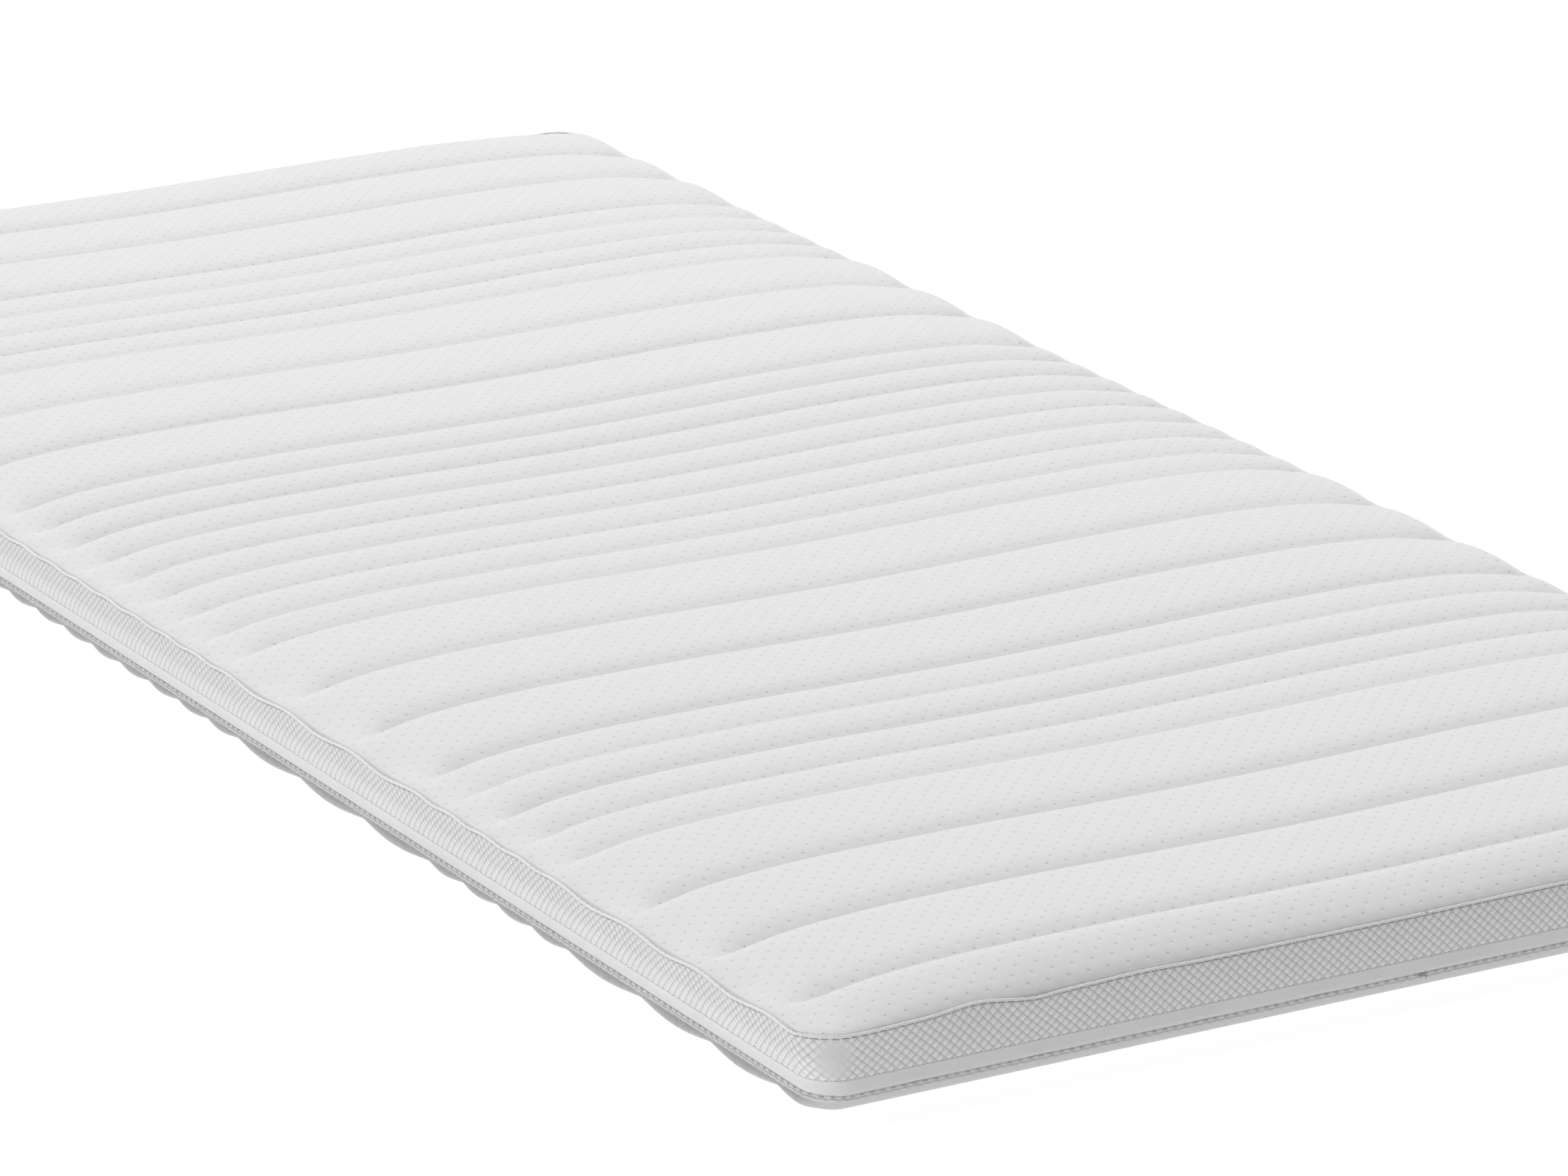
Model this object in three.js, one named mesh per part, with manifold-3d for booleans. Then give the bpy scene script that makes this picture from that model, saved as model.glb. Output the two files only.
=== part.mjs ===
// A memory foam mattress topper, 900 x 2000 x 74 mm: a foam core inside a quilted cover that a zip divides
// into two halves. The upper half is the quilted top panel with its mesh border and the flap that hides the
// zip; the lower half is the quilted bottom panel.
// Millimetres. X runs across the width, Y along the length with the head end at +Y, and Z up from the floor.
// The origin is on the floor, under the middle of the topper.
import * as THREE from "three";
import { mergeVertices } from "three/addons/utils/BufferGeometryUtils.js";
import Module from "manifold-3d";

const wasm = await Module();
wasm.setup();

// ---- Driving dimensions ----
const WIDTH = 900;
const LENGTH = 2000;
const HEIGHT = 74;
const CORE_HEIGHT = 50;
const GAP = 0.3; // between pieces that touch on the real object
const CORNER_RADIUS = 25;
const CORNER_STEPS = 5;
const SMALLEST_RADIUS = 4; // of a corner of a layer well inside the border

// ---- Cloth and filling thicknesses ----
const FACE = 1.5;
const BACKING = 0.8;
const MESH = 3;
const CORD_RADIUS = 1.5;
const CORD_SIDES = 8;

// ---- The side of the topper. "Out" is measured outwards from the mesh border's outer face. ----
const FLAP_BULGE = 4.5; // how far the zip flap stands out, which sets the overall width and length
const HALF_X = WIDTH / 2 - FLAP_BULGE;
const HALF_Y = LENGTH / 2 - FLAP_BULGE;
const CORD_OUT = 0.2; // of the cords' middles
const BOTTOM_CORD_Z = 11.5;
const TOP_CORD_Z = 54.2;
const BORDER_BASE_Z = 28;
const BORDER_TOP_Z = TOP_CORD_Z - CORD_RADIUS - GAP;
const PANEL_RIM_Z = TOP_CORD_Z + CORD_RADIUS + GAP;
const BASE_RIM_Z = BOTTOM_CORD_Z - CORD_RADIUS - GAP;

// ---- The stack of layers through the middle, from the floor up ----
const BASE_WADDING_Z = [FACE + GAP, 9.6];
const BASE_BACKING_Z = [BASE_WADDING_Z[1] + GAP, BASE_WADDING_Z[1] + GAP + BACKING];
const CORE_BASE_Z = BASE_BACKING_Z[1] + GAP;
const CORE_TOP_Z = CORE_BASE_Z + CORE_HEIGHT;
const TOP_WADDING = HEIGHT - CORE_TOP_Z - GAP - BACKING - GAP - GAP - FACE;
const CORE_INSET = 5; // of the core's sides from the border's outer face

// ---- The zip: [low, high] heights, and [inner, outer] places measured as "out" ----
const LOWER_TAPE_Z = [BOTTOM_CORD_Z + CORD_RADIUS + GAP, 17.7];
const LOWER_COIL_Z = [18, 20.4];
const UPPER_COIL_Z = [21.6, 24];
const UPPER_TAPE_Z = [24.3, BORDER_BASE_Z - GAP];
const TAPE_OUT = [-1.6, -0.8];
const COIL_OUT = [-2.3, -0.1];

// ---- The zip's ends and its slider, along the head side ----
const ZIP_START_X = -406;
const ZIP_END_X = -392;
const STOP_LENGTH = 2.6;
const END_PROUD = 0.2; // how far the box, the pin and the stops stand out past the coils' faces
const BOX_LENGTH = 8;
const SLIDER_LENGTH = 14;
const SLIDER_X = ZIP_END_X + SLIDER_LENGTH / 2 + GAP;
const SLIDER_Z = [16.4, 25.6];
const OUTER_PLATE_OUT = [0.3, 1.4];
const INNER_PLATE_OUT = [-3.7, -2.7];
const LIP_HEIGHT = 1;
const LIP_REACH = 0.7;
const WEB_Z = [20.6, 21.4];
const WEB_LENGTH = 6;
const PIVOT_OUT = 2.2;
const PIVOT_SETBACK = 4; // of the pull tab's pin from the slider's middle
const PIVOT_X = SLIDER_X - PIVOT_SETBACK;
const BOSS_Z = [[17.2, 18.4], [23.6, 24.8]];
const BOSS_SIZE = 1.6;
const PIN_RADIUS = 0.35;
const PIN_HOLE_RADIUS = 0.55;
const TAB_Z = [18.7, 23.3];
const TAB_LENGTH = 13;
const TAB_THICKNESS = 0.8;
const TAB_SLOT = [4, 1.6]; // length between the slot's round ends, and its width
const TAB_ROOT = 0.7; // the tab's width at its barrel, as a share of its full width

// ---- The flap that swings up at the head end ----
const HEAD_FLAP_HALF = 414;
const FLAP_SPLIT = HEAD_FLAP_HALF + GAP;
// The flap's section, as [out, z], starting from its hinge line along the top and going down the outside.
// Its inside stays clear of the slider, so that the upper half of the cover can lift with the flap down.
const FLAP_SECTION = [
  [1.3, 28.6], [3.2, 27.2], [4.2, 24.5], [FLAP_BULGE, 20.5], [4.4, 16.5], [4.1, 13.8],
  [3.3, 13.8], [3.5, 16.8], [3.6, 20.5], [3.4, 24.4], [2.6, 26.3], [0.4, 28.2],
];

// ---- The care label, on the right side near the head end ----
const LABEL = { y: 760, width: 34, z: [32, BORDER_TOP_Z], out: [GAP, 0.7] };

// ---- Materials ----
const cloth = (color, roughness = 0.9) => new THREE.MeshStandardMaterial({ color, roughness, metalness: 0 });
const JERSEY = cloth(0xe9ebea);
const WADDING = cloth(0xf4f4f2, 1);
const NONWOVEN = cloth(0xf0f0ee, 0.95);
const SPACER_MESH = cloth(0xdfe1e1, 0.85);
const BINDING = cloth(0xe6e8e8, 0.7);
const SATIN = cloth(0xe4e6e6, 0.6);
const TAPE = cloth(0xe8e8e8, 0.8);
const FOAM = cloth(0xf3ecd2, 1);
const NYLON = new THREE.MeshStandardMaterial({ color: 0xe6e6e4, roughness: 0.45, metalness: 0 });
const ZINC = new THREE.MeshStandardMaterial({ color: 0xe2e2e0, roughness: 0.35, metalness: 0.1 });

const topper = new THREE.Group();

// ---- Outlines ----

const STRAIGHT_Y = HALF_Y - CORNER_RADIUS; // where the long sides' straight stretches end
const headPoint = (x) => ({ x, y: HALF_Y, nx: 0, ny: 1 });
const sidePoint = (side, y) => ({ x: side * HALF_X, y, nx: side, ny: 0 });

// The points of a rounded rectangle, anticlockwise from the right side's head end, pulled in by inset.
function outline(inset) {
  const hx = HALF_X - inset;
  const hy = HALF_Y - inset;
  const r = Math.max(CORNER_RADIUS - inset, SMALLEST_RADIUS);
  const points = [];
  [[1, 1], [-1, 1], [-1, -1], [1, -1]].forEach(([sx, sy], corner) => {
    for (let i = 0; i <= CORNER_STEPS; i++) {
      const a = (corner + i / CORNER_STEPS) * (Math.PI / 2);
      points.push([sx * (hx - r) + r * Math.cos(a), sy * (hy - r) + r * Math.sin(a)]);
    }
  });
  return points;
}

// A closed outline as a path that starts at the middle of the head side, as {x, y, nx, ny}, n pointing outwards.
function perimeter() {
  const ring = outline(0);
  const afterCorner = CORNER_STEPS + 1; // the first point past the head's right corner
  const loop = [[0, HALF_Y], ...ring.slice(afterCorner), ...ring.slice(0, afterCorner), [0, HALF_Y]];
  return loop.map(([x, y]) => {
    const cx = Math.sign(x) * Math.max(0, Math.abs(x) - (HALF_X - CORNER_RADIUS));
    const cy = Math.sign(y) * Math.max(0, Math.abs(y) - (HALF_Y - CORNER_RADIUS));
    const n = Math.hypot(cx, cy);
    return { x, y, nx: cx / n, ny: cy / n };
  });
}

// The part of the perimeter that runs anticlockwise from x = from to x = to on the head side, right round the foot.
function roundFromHead(from, to) {
  return [headPoint(from), ...perimeter().slice(1, -1), headPoint(to)];
}

// The part of the perimeter whose points pass a test, with extra points put on its two ends.
function stretch(test, first = [], last = []) {
  const all = perimeter().slice(1, -1);
  const cut = all.findIndex((p, i) => test(p) && !test(all[(i + all.length - 1) % all.length]));
  const turned = [...all.slice(cut), ...all.slice(0, cut)];
  return [...first, ...turned.filter(test), ...last];
}

// ---- Solids made of rings of points ----

// Joins rings that have equally many points into one closed body. Each ring is a list of [x, y, z].
// loops: the last ring joins the first. Otherwise the first and last rings are closed by flat caps.
function skin(rings, { loops = false } = {}) {
  const count = rings[0].length;
  const positions = rings.flat(2);
  const index = [];
  const ringPairs = loops ? rings.length : rings.length - 1;
  for (let r = 0; r < ringPairs; r++) {
    const next = ((r + 1) % rings.length) * count;
    for (let i = 0; i < count; i++) {
      const j = (i + 1) % count;
      index.push(r * count + i, next + i, next + j, r * count + i, next + j, r * count + j);
    }
  }
  if (!loops) {
    index.push(...cap(rings[0], 0, false), ...cap(rings.at(-1), (rings.length - 1) * count, true));
  }
  const geometry = new THREE.BufferGeometry();
  geometry.setAttribute("position", new THREE.Float32BufferAttribute(positions, 3));
  geometry.setIndex(index);
  return facingOut(geometry);
}

// The triangles of a flat ring's inside, numbered from start.
function cap(ring, start, flipped) {
  const u = new THREE.Vector3(...ring[1]).sub(new THREE.Vector3(...ring[0])).normalize();
  const normal = new THREE.Vector3();
  ring.forEach((p, i) => {
    const q = ring[(i + 1) % ring.length];
    normal.add(new THREE.Vector3().crossVectors(new THREE.Vector3(...p), new THREE.Vector3(...q)));
  });
  normal.normalize();
  const v = new THREE.Vector3().crossVectors(normal, u);
  const flat = ring.map((p) => new THREE.Vector2(new THREE.Vector3(...p).dot(u), new THREE.Vector3(...p).dot(v)));
  return THREE.ShapeUtils.triangulateShape(flat, []).flatMap(([a, b, c]) =>
    flipped ? [start + a, start + c, start + b] : [start + a, start + b, start + c],
  );
}

// Turns a closed geometry's faces over if they point inwards.
function facingOut(geometry) {
  const p = geometry.attributes.position;
  const t = geometry.index.array;
  const [a, b, c] = [new THREE.Vector3(), new THREE.Vector3(), new THREE.Vector3()];
  let volume = 0;
  for (let i = 0; i < t.length; i += 3) {
    a.fromBufferAttribute(p, t[i]);
    b.fromBufferAttribute(p, t[i + 1]);
    c.fromBufferAttribute(p, t[i + 2]);
    volume += a.dot(b.clone().cross(c)) / 6;
  }
  if (volume < 0) {
    for (let i = 0; i < t.length; i += 3) {
      [t[i + 1], t[i + 2]] = [t[i + 2], t[i + 1]];
    }
  }
  geometry.computeVertexNormals();
  return geometry;
}

// A layer bounded by closed outlines, one for each [inset, z] of its profile, capped at both ends.
const layered = (profile) => skin(profile.map(([inset, z]) => outline(inset).map(([x, y]) => [x, y, z])));

// A ring right round the topper with the given section, as [out, z] points in order.
const allRound = (section) =>
  skin(section.map(([out, z]) => outline(-out).map(([x, y]) => [x, y, z])), { loops: true });

// A strip with the given section that follows a stretch of the perimeter.
const strip = (section, path) =>
  skin(path.map(({ x, y, nx, ny }) => section.map(([out, z]) => [x + nx * out, y + ny * out, z])));

const rectangle = ([innerOut, outerOut], [low, high]) => [
  [innerOut, low], [outerOut, low], [outerOut, high], [innerOut, high],
];

function circle(centreOut, centreZ, radius, sides) {
  return Array.from({ length: sides }, (_, i) => {
    const a = (i / sides) * 2 * Math.PI;
    return [centreOut + radius * Math.cos(a), centreZ + radius * Math.sin(a)];
  });
}

function add(name, geometry, material) {
  const mesh = new THREE.Mesh(geometry, material);
  mesh.name = name;
  topper.add(mesh);
}

// ---- Quilted panels ----

// The top panel's outer surface rolls up from the seam to a plateau: [inset from the border, rise above the rim].
const CROWN = [
  [0, FACE], [3, 3.2], [10, 5.6], [25, 9], [45, 12], [70, 14.6], [105, 16.8], [160, HEIGHT - PANEL_RIM_Z],
];
const FULL_LOFT_INSET = 105; // how far in the seam stops pinching the wadding
const PINCHED_LOFT = 0.15; // share of the wadding's thickness that is left at the seam
const TOP_WADDING_INSET = 3.2;
const TOP_BACKING_INSET = 9;

function crown(inset) {
  const next = Math.max(1, CROWN.findIndex(([knot]) => knot >= inset));
  const [[x0, rise0], [x1, rise1]] = [CROWN[next - 1], CROWN[next]];
  return PANEL_RIM_Z + rise0 + ((rise1 - rise0) * (inset - x0)) / (x1 - x0);
}

// Depths below the outer surface, layer by layer.
const loft = (inset) => Math.min(1, PINCHED_LOFT + ((1 - PINCHED_LOFT) * inset) / FULL_LOFT_INSET);
const waddingTop = () => FACE + GAP;
const waddingBottom = (inset) => FACE + GAP + TOP_WADDING * loft(inset);
const backingTop = (inset) => waddingBottom(inset) + GAP;
const backingBottom = (inset) => backingTop(inset) + BACKING;
const coreTop = (inset) => backingBottom(inset) + GAP;

// The crown's profile from a rim inwards, lowered by a depth that depends on the inset.
function crownProfile(rimInset, depth) {
  const insets = [rimInset, ...CROWN.map(([knot]) => knot).filter((knot) => knot > rimInset)];
  return insets.map((inset) => [inset, crown(inset) - depth(inset)]);
}

const topLayer = (rimInset, upper, lower) =>
  layered([...crownProfile(rimInset, upper).reverse(), ...crownProfile(rimInset, lower)]);

function topPanel() {
  add("top_face_fabric", topLayer(0, () => 0, () => FACE), JERSEY);
  add("top_wadding", topLayer(TOP_WADDING_INSET, waddingTop, waddingBottom), WADDING);
  add("top_backing", topLayer(TOP_BACKING_INSET, backingTop, backingBottom), NONWOVEN);
}

// The bottom panel's underside rolls in from its seam to the flat that lies on the bed.
const BASE_ROLL = [[0, 1], [1.2, 0.66], [4, 0.34], [10, 0.1], [20, 0]]; // [inset, share of the rim's height]
const BASE_WADDING_ROLL = [[26, 0], [16, 1.5], [8, 4], [5, 7]]; // [inset, height above the wadding's underside]

function bottomPanel() {
  const outside = BASE_ROLL.map(([inset, share]) => [inset, share * BASE_RIM_Z]);
  const inside = BASE_ROLL.map(([inset, share]) => [inset + FACE, FACE + share * (BASE_RIM_Z - FACE)]);
  add("bottom_face_fabric", layered([...outside.reverse(), ...inside]), JERSEY);
  const [low, high] = BASE_WADDING_Z;
  const roll = BASE_WADDING_ROLL.map(([inset, rise]) => [inset, low + rise]);
  const [waddingInset] = roll.at(-1);
  add("bottom_wadding", layered([...roll, [waddingInset, high]]), WADDING);
  add("bottom_backing", layered(BASE_BACKING_Z.map((z) => [MESH + GAP, z])), NONWOVEN);
}

// ---- Seams and border ----

function seamCords() {
  add("top_seam_cord", allRound(circle(CORD_OUT, TOP_CORD_Z, CORD_RADIUS, CORD_SIDES)), BINDING);
  add("bottom_seam_cord", allRound(circle(CORD_OUT, BOTTOM_CORD_Z, CORD_RADIUS, CORD_SIDES)), BINDING);
}

// The short sides' strips turn the corners and end just past them, and the long sides' strips meet them there.
const SHORT_STRIP_END = STRAIGHT_Y - 1;
const LONG_STRIP_END = SHORT_STRIP_END - GAP;

// The path of a strip across the head (end = 1) or the foot (end = -1), corners and all.
function acrossEnd(end) {
  const y = end * SHORT_STRIP_END;
  return stretch((p) => end * p.y >= SHORT_STRIP_END, [sidePoint(end, y)], [sidePoint(-end, y)]);
}

// The mesh border is four strips.
function border() {
  const section = rectangle([-MESH, 0], [BORDER_BASE_Z, BORDER_TOP_Z]);
  const left = [sidePoint(-1, LONG_STRIP_END), sidePoint(-1, -LONG_STRIP_END)];
  const right = [sidePoint(1, -LONG_STRIP_END), sidePoint(1, LONG_STRIP_END)];
  add("border_head", strip(section, acrossEnd(1)), SPACER_MESH);
  add("border_foot", strip(section, acrossEnd(-1)), SPACER_MESH);
  add("border_left", strip(section, left), SPACER_MESH);
  add("border_right", strip(section, right), SPACER_MESH);
}

// The zip flap is four strips too. The head one stops short of the corners, so that it can swing up, and the
// long sides' strips turn the corners to meet it.
function zipFlap() {
  const head = [headPoint(HEAD_FLAP_HALF), headPoint(-HEAD_FLAP_HALF)];
  const left = stretch((p) => p.x < 0 && p.y > 0, [headPoint(-FLAP_SPLIT)], [sidePoint(-1, -LONG_STRIP_END)]);
  const right = stretch((p) => p.x > 0 && p.y > 0, [sidePoint(1, -LONG_STRIP_END)], [headPoint(FLAP_SPLIT)]);
  add("zip_flap_left", strip(FLAP_SECTION, left), SATIN);
  add("zip_flap_right", strip(FLAP_SECTION, right), SATIN);
  add("zip_flap_foot", strip(FLAP_SECTION, acrossEnd(-1)), SATIN);
  add("zip_flap_head", strip(FLAP_SECTION, head), SATIN);
}

function careLabel() {
  const { y, width, z, out } = LABEL;
  const path = [sidePoint(1, y - width / 2), sidePoint(1, y + width / 2)];
  add("care_label", strip(rectangle(out, z), path), SATIN);
}

// ---- Zip ----

// A box between two x values, in the [out, z] section of the head side.
function headBlock([x0, x1], out, z) {
  const geometry = new THREE.BoxGeometry(x1 - x0, out[1] - out[0], z[1] - z[0]);
  return geometry.translate((x0 + x1) / 2, HALF_Y + (out[0] + out[1]) / 2, (z[0] + z[1]) / 2);
}

// Both halves of the zip run right round, from the box near the left end of the head side back to the stops.
function zipChain() {
  const chain = roundFromHead(ZIP_START_X, ZIP_END_X);
  const tape = roundFromHead(ZIP_START_X + BOX_LENGTH, ZIP_END_X - STOP_LENGTH);
  add("lower_zip_tape", strip(rectangle(TAPE_OUT, LOWER_TAPE_Z), tape), TAPE);
  add("upper_zip_tape", strip(rectangle(TAPE_OUT, UPPER_TAPE_Z), tape), TAPE);
  add("lower_zip_coil", strip(rectangle(COIL_OUT, LOWER_COIL_Z), chain), NYLON);
  add("upper_zip_coil", strip(rectangle(COIL_OUT, UPPER_COIL_Z), chain), NYLON);
}

function zipEnds() {
  const box = [ZIP_START_X + GAP, ZIP_START_X + BOX_LENGTH];
  const stop = [ZIP_END_X - STOP_LENGTH, ZIP_END_X - GAP];
  const out = [COIL_OUT[0] - END_PROUD, COIL_OUT[1] + END_PROUD];
  add("zip_start_box", headBlock(box, out, LOWER_COIL_Z), NYLON);
  add("zip_start_pin", headBlock(box, out, UPPER_COIL_Z), NYLON);
  add("lower_end_stop", headBlock(stop, out, LOWER_COIL_Z), NYLON);
  add("upper_end_stop", headBlock(stop, out, UPPER_COIL_Z), NYLON);
}

// A closed three.js geometry as a manifold-3d solid.
function solid(geometry) {
  const bare = geometry.clone();
  bare.deleteAttribute("normal");
  bare.deleteAttribute("uv");
  const merged = mergeVertices(bare, 1e-4);
  const mesh = new wasm.Mesh({
    numProp: 3,
    vertProperties: merged.attributes.position.array,
    triVerts: new Uint32Array(merged.index.array),
  });
  return new wasm.Manifold(mesh);
}

function geometryOf(manifold) {
  const mesh = manifold.getMesh();
  const geometry = new THREE.BufferGeometry();
  geometry.setAttribute("position", new THREE.BufferAttribute(mesh.vertProperties, 3));
  geometry.setIndex(new THREE.BufferAttribute(mesh.triVerts, 1));
  geometry.computeVertexNormals();
  return geometry;
}

// An upright cylinder on the pull tab's pivot line.
function pivotCylinder(radius, [low, high]) {
  const geometry = new THREE.CylinderGeometry(radius, radius, high - low, 12).rotateX(Math.PI / 2);
  return geometry.translate(PIVOT_X, HALF_Y + PIVOT_OUT, (low + high) / 2);
}

// The slider: two plates on a web that runs between the coils, lips that hold the lower coil, and two ears.
// It has no lips on its upper edge, so that the upper half of the zip can lift out of it.
function slider() {
  const span = [SLIDER_X - SLIDER_LENGTH / 2, SLIDER_X + SLIDER_LENGTH / 2];
  const webSpan = [SLIDER_X - WEB_LENGTH / 2, SLIDER_X + WEB_LENGTH / 2];
  const bossSpan = [PIVOT_X - BOSS_SIZE / 2, PIVOT_X + BOSS_SIZE / 2];
  const lipZ = [SLIDER_Z[0], SLIDER_Z[0] + LIP_HEIGHT];
  const pieces = [
    headBlock(span, INNER_PLATE_OUT, SLIDER_Z),
    headBlock(webSpan, [INNER_PLATE_OUT[0], OUTER_PLATE_OUT[1]], WEB_Z),
    headBlock(span, [OUTER_PLATE_OUT[0] - LIP_REACH, OUTER_PLATE_OUT[1]], lipZ),
    headBlock(span, [INNER_PLATE_OUT[0], INNER_PLATE_OUT[1] + LIP_REACH], lipZ),
    ...BOSS_Z.map((z) => headBlock(bossSpan, [OUTER_PLATE_OUT[0], PIVOT_OUT + BOSS_SIZE / 2], z)),
  ];
  let body = solid(headBlock(span, OUTER_PLATE_OUT, SLIDER_Z));
  for (const piece of pieces) {
    body = body.add(solid(piece));
  }
  const [first, second] = BOSS_Z;
  body = body.subtract(solid(pivotCylinder(PIN_HOLE_RADIUS, [first[0] - 1, second[1] + 1])));
  add("zip_slider_body", geometryOf(body), ZINC);
  add("puller_pin", pivotCylinder(PIN_RADIUS, [first[0], second[1]]), ZINC);
}

// The pull tab: a barrel on the pin, and a flat tongue with a slot, lying along the zip.
function pullTab() {
  const middle = (TAB_Z[0] + TAB_Z[1]) / 2;
  const half = (TAB_Z[1] - TAB_Z[0]) / 2;
  const tip = TAB_LENGTH - half;
  const tongue = new THREE.Shape();
  tongue.moveTo(0, -half * TAB_ROOT);
  tongue.lineTo(tip, -half);
  tongue.absarc(tip, 0, half, -Math.PI / 2, Math.PI / 2, false);
  tongue.lineTo(0, half * TAB_ROOT);
  const [slotLength, slotWidth] = TAB_SLOT;
  const slot = new THREE.Path();
  slot.absarc(tip, 0, slotWidth / 2, -Math.PI / 2, Math.PI / 2, false);
  slot.absarc(tip - slotLength, 0, slotWidth / 2, Math.PI / 2, (3 * Math.PI) / 2, false);
  tongue.holes.push(slot);
  const plate = new THREE.ExtrudeGeometry(tongue, { depth: TAB_THICKNESS, bevelEnabled: false, curveSegments: 8 });
  plate.rotateX(Math.PI / 2);
  plate.translate(PIVOT_X, HALF_Y + PIVOT_OUT + TAB_THICKNESS / 2, middle);
  const barrel = solid(pivotCylinder(TAB_THICKNESS, TAB_Z));
  const hole = solid(pivotCylinder(PIN_HOLE_RADIUS, [TAB_Z[0] - 1, TAB_Z[1] + 1]));
  add("zip_pull_tab", geometryOf(barrel.add(solid(plate)).subtract(hole)), ZINC);
}

// ---- Core ----

const CORE_SHOULDER_Z = 50; // where the core's upright side ends and its edge, pressed round by the cover, begins
const CORE_SHOULDER_INSET = 10;
const CORE_CHAMFER = 5; // along the bottom edge

function core() {
  const base = [[CORE_INSET + CORE_CHAMFER, CORE_BASE_Z], [CORE_INSET, CORE_BASE_Z + CORE_CHAMFER]];
  const edge = [CORE_INSET, CORE_SHOULDER_Z];
  add("memory_foam_core", layered([...base, edge, ...crownProfile(CORE_SHOULDER_INSET, coreTop)]), FOAM);
}

topPanel();
bottomPanel();
seamCords();
border();
zipFlap();
careLabel();
zipChain();
zipEnds();
slider();
pullTab();
core();

export default topper;
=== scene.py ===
"""Looks of a thin memory foam mattress on its frame: quilted panels, mesh border, zip, flap and core."""

import math

import bpy
import numpy as np
from mathutils import Matrix, Vector


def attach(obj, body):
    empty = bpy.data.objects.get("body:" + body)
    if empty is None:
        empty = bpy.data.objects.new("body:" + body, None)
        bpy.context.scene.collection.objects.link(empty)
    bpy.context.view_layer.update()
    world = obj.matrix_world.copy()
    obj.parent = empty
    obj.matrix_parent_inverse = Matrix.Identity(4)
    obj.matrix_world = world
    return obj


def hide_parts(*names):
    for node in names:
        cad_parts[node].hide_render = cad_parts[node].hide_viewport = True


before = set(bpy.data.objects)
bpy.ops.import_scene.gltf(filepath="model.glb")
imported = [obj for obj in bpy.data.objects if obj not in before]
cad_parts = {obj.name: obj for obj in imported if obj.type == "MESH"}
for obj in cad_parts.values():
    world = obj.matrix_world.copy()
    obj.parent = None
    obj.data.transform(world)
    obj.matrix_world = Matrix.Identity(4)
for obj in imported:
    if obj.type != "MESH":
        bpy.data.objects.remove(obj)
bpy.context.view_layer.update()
MM = 0.001

# ---- Dimensions of the frame, in metres ----
HALF_X = 0.4455  # of the mesh border's outer face
HALF_Y = 0.9955
CORNER = 0.025
TOP_SEAM_Z = 0.0542
BOTTOM_SEAM_Z = 0.0115
BORDER_BASE_Z = 0.0228
HEAD_BORDER_BASE_Z = 0.0250  # it clears the zip, which shows there when the flap is up
CORE_BASE_Z = 0.0110
CORE_INSET = 0.005
STRAIGHT_X = HALF_X - CORNER
STRAIGHT_Y = HALF_Y - CORNER

# ---- Quilting: (number of channels, their width), from the foot to the head ----
FIRST_LINE = 0.0539  # from the foot edge of the border
CHANNELS = [
    (3, 0.0990), (4, 0.0486), (3, 0.0968), (8, 0.0480), (3, 0.0979), (4, 0.0474), (1, 0.0983), (2, 0.0862),
]
WIDE_CHANNEL = 0.098
WIDTHS = [width for count, width in CHANNELS for _ in range(count)]
LINES = np.cumsum([FIRST_LINE - HALF_Y, *WIDTHS])  # where they cross the middle
EDGES = np.concatenate([[-HALF_Y], LINES, [HALF_Y]])
RANDOM = np.random.default_rng(7)
LINE_DEPTH = RANDOM.uniform(0.55, 1.25, len(LINES))  # how hard each line is pulled in


def smooth(low, high, value):
    t = np.clip((value - low) / (high - low), 0, 1)
    return t * t * (3 - 2 * t)


def channel(y):
    """(place across the channel from 0 to 1, its width) at y."""
    k = np.clip(np.searchsorted(EDGES, y, side="right") - 1, 0, len(EDGES) - 2)
    width = EDGES[k + 1] - EDGES[k]
    return (y - EDGES[k]) / width, width


def swell(y, power, narrowing=0.8):
    """0 on a quilting line, and up to 1 midway between two that are far apart."""
    t, width = channel(y)
    return (1 - np.abs(2 * t - 1) ** power) * np.minimum(1, width / WIDE_CHANNEL) ** narrowing


def wave(y):
    """Like swell, but round at the lines too."""
    t, width = channel(y)
    return np.sin(np.pi * t) ** 2 * np.minimum(1, width / WIDE_CHANNEL) ** 1.3


# ---- The lines bend towards the foot just before they reach the long sides ----
BEND = 0.018
BEND_REACH = 0.016


def bend_share(y):
    """The lines next to the foot and the head bend less."""
    return smooth(-0.97, -0.76, y) * smooth(0.99, 0.90, y)


def bend(y, ix):
    return BEND * bend_share(y) * np.exp(-((np.maximum(ix, 0) / BEND_REACH) ** 1.2))


def bent(y, ix):
    """Where a point of the straight pattern lies."""
    return y - bend(y, ix)


def straightened(y, ix):
    """Where a point lies on the straight pattern."""
    return y + bend(y, ix)


# ---- The seam's waves: each quilting line pulls the left side's seam in and up ----
SEAM_DROP = 0.0025  # midway between two lines
SEAM_BULGE = 0.0010
SEAM_REACH = 0.018
# Waves along the short sides' seams: (middle, height, half width).
FOOT_WAVES = [
    (-0.408, -0.0009, 0.022), (-0.331, 0.0030, 0.024), (-0.288, -0.0013, 0.018), (-0.210, 0.0010, 0.030),
    (0.10, 0.0008, 0.08), (0.335, 0.0018, 0.03), (0.385, -0.0014, 0.03),
]
HEAD_WAVES = [(-0.37, -0.0016, 0.03), (-0.31, 0.0018, 0.03), (0.02, 0.0008, 0.09), (0.36, -0.0018, 0.035)]
DRAWN_IN = 0.3  # how far in such a wave moves, as a share of how far up


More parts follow.
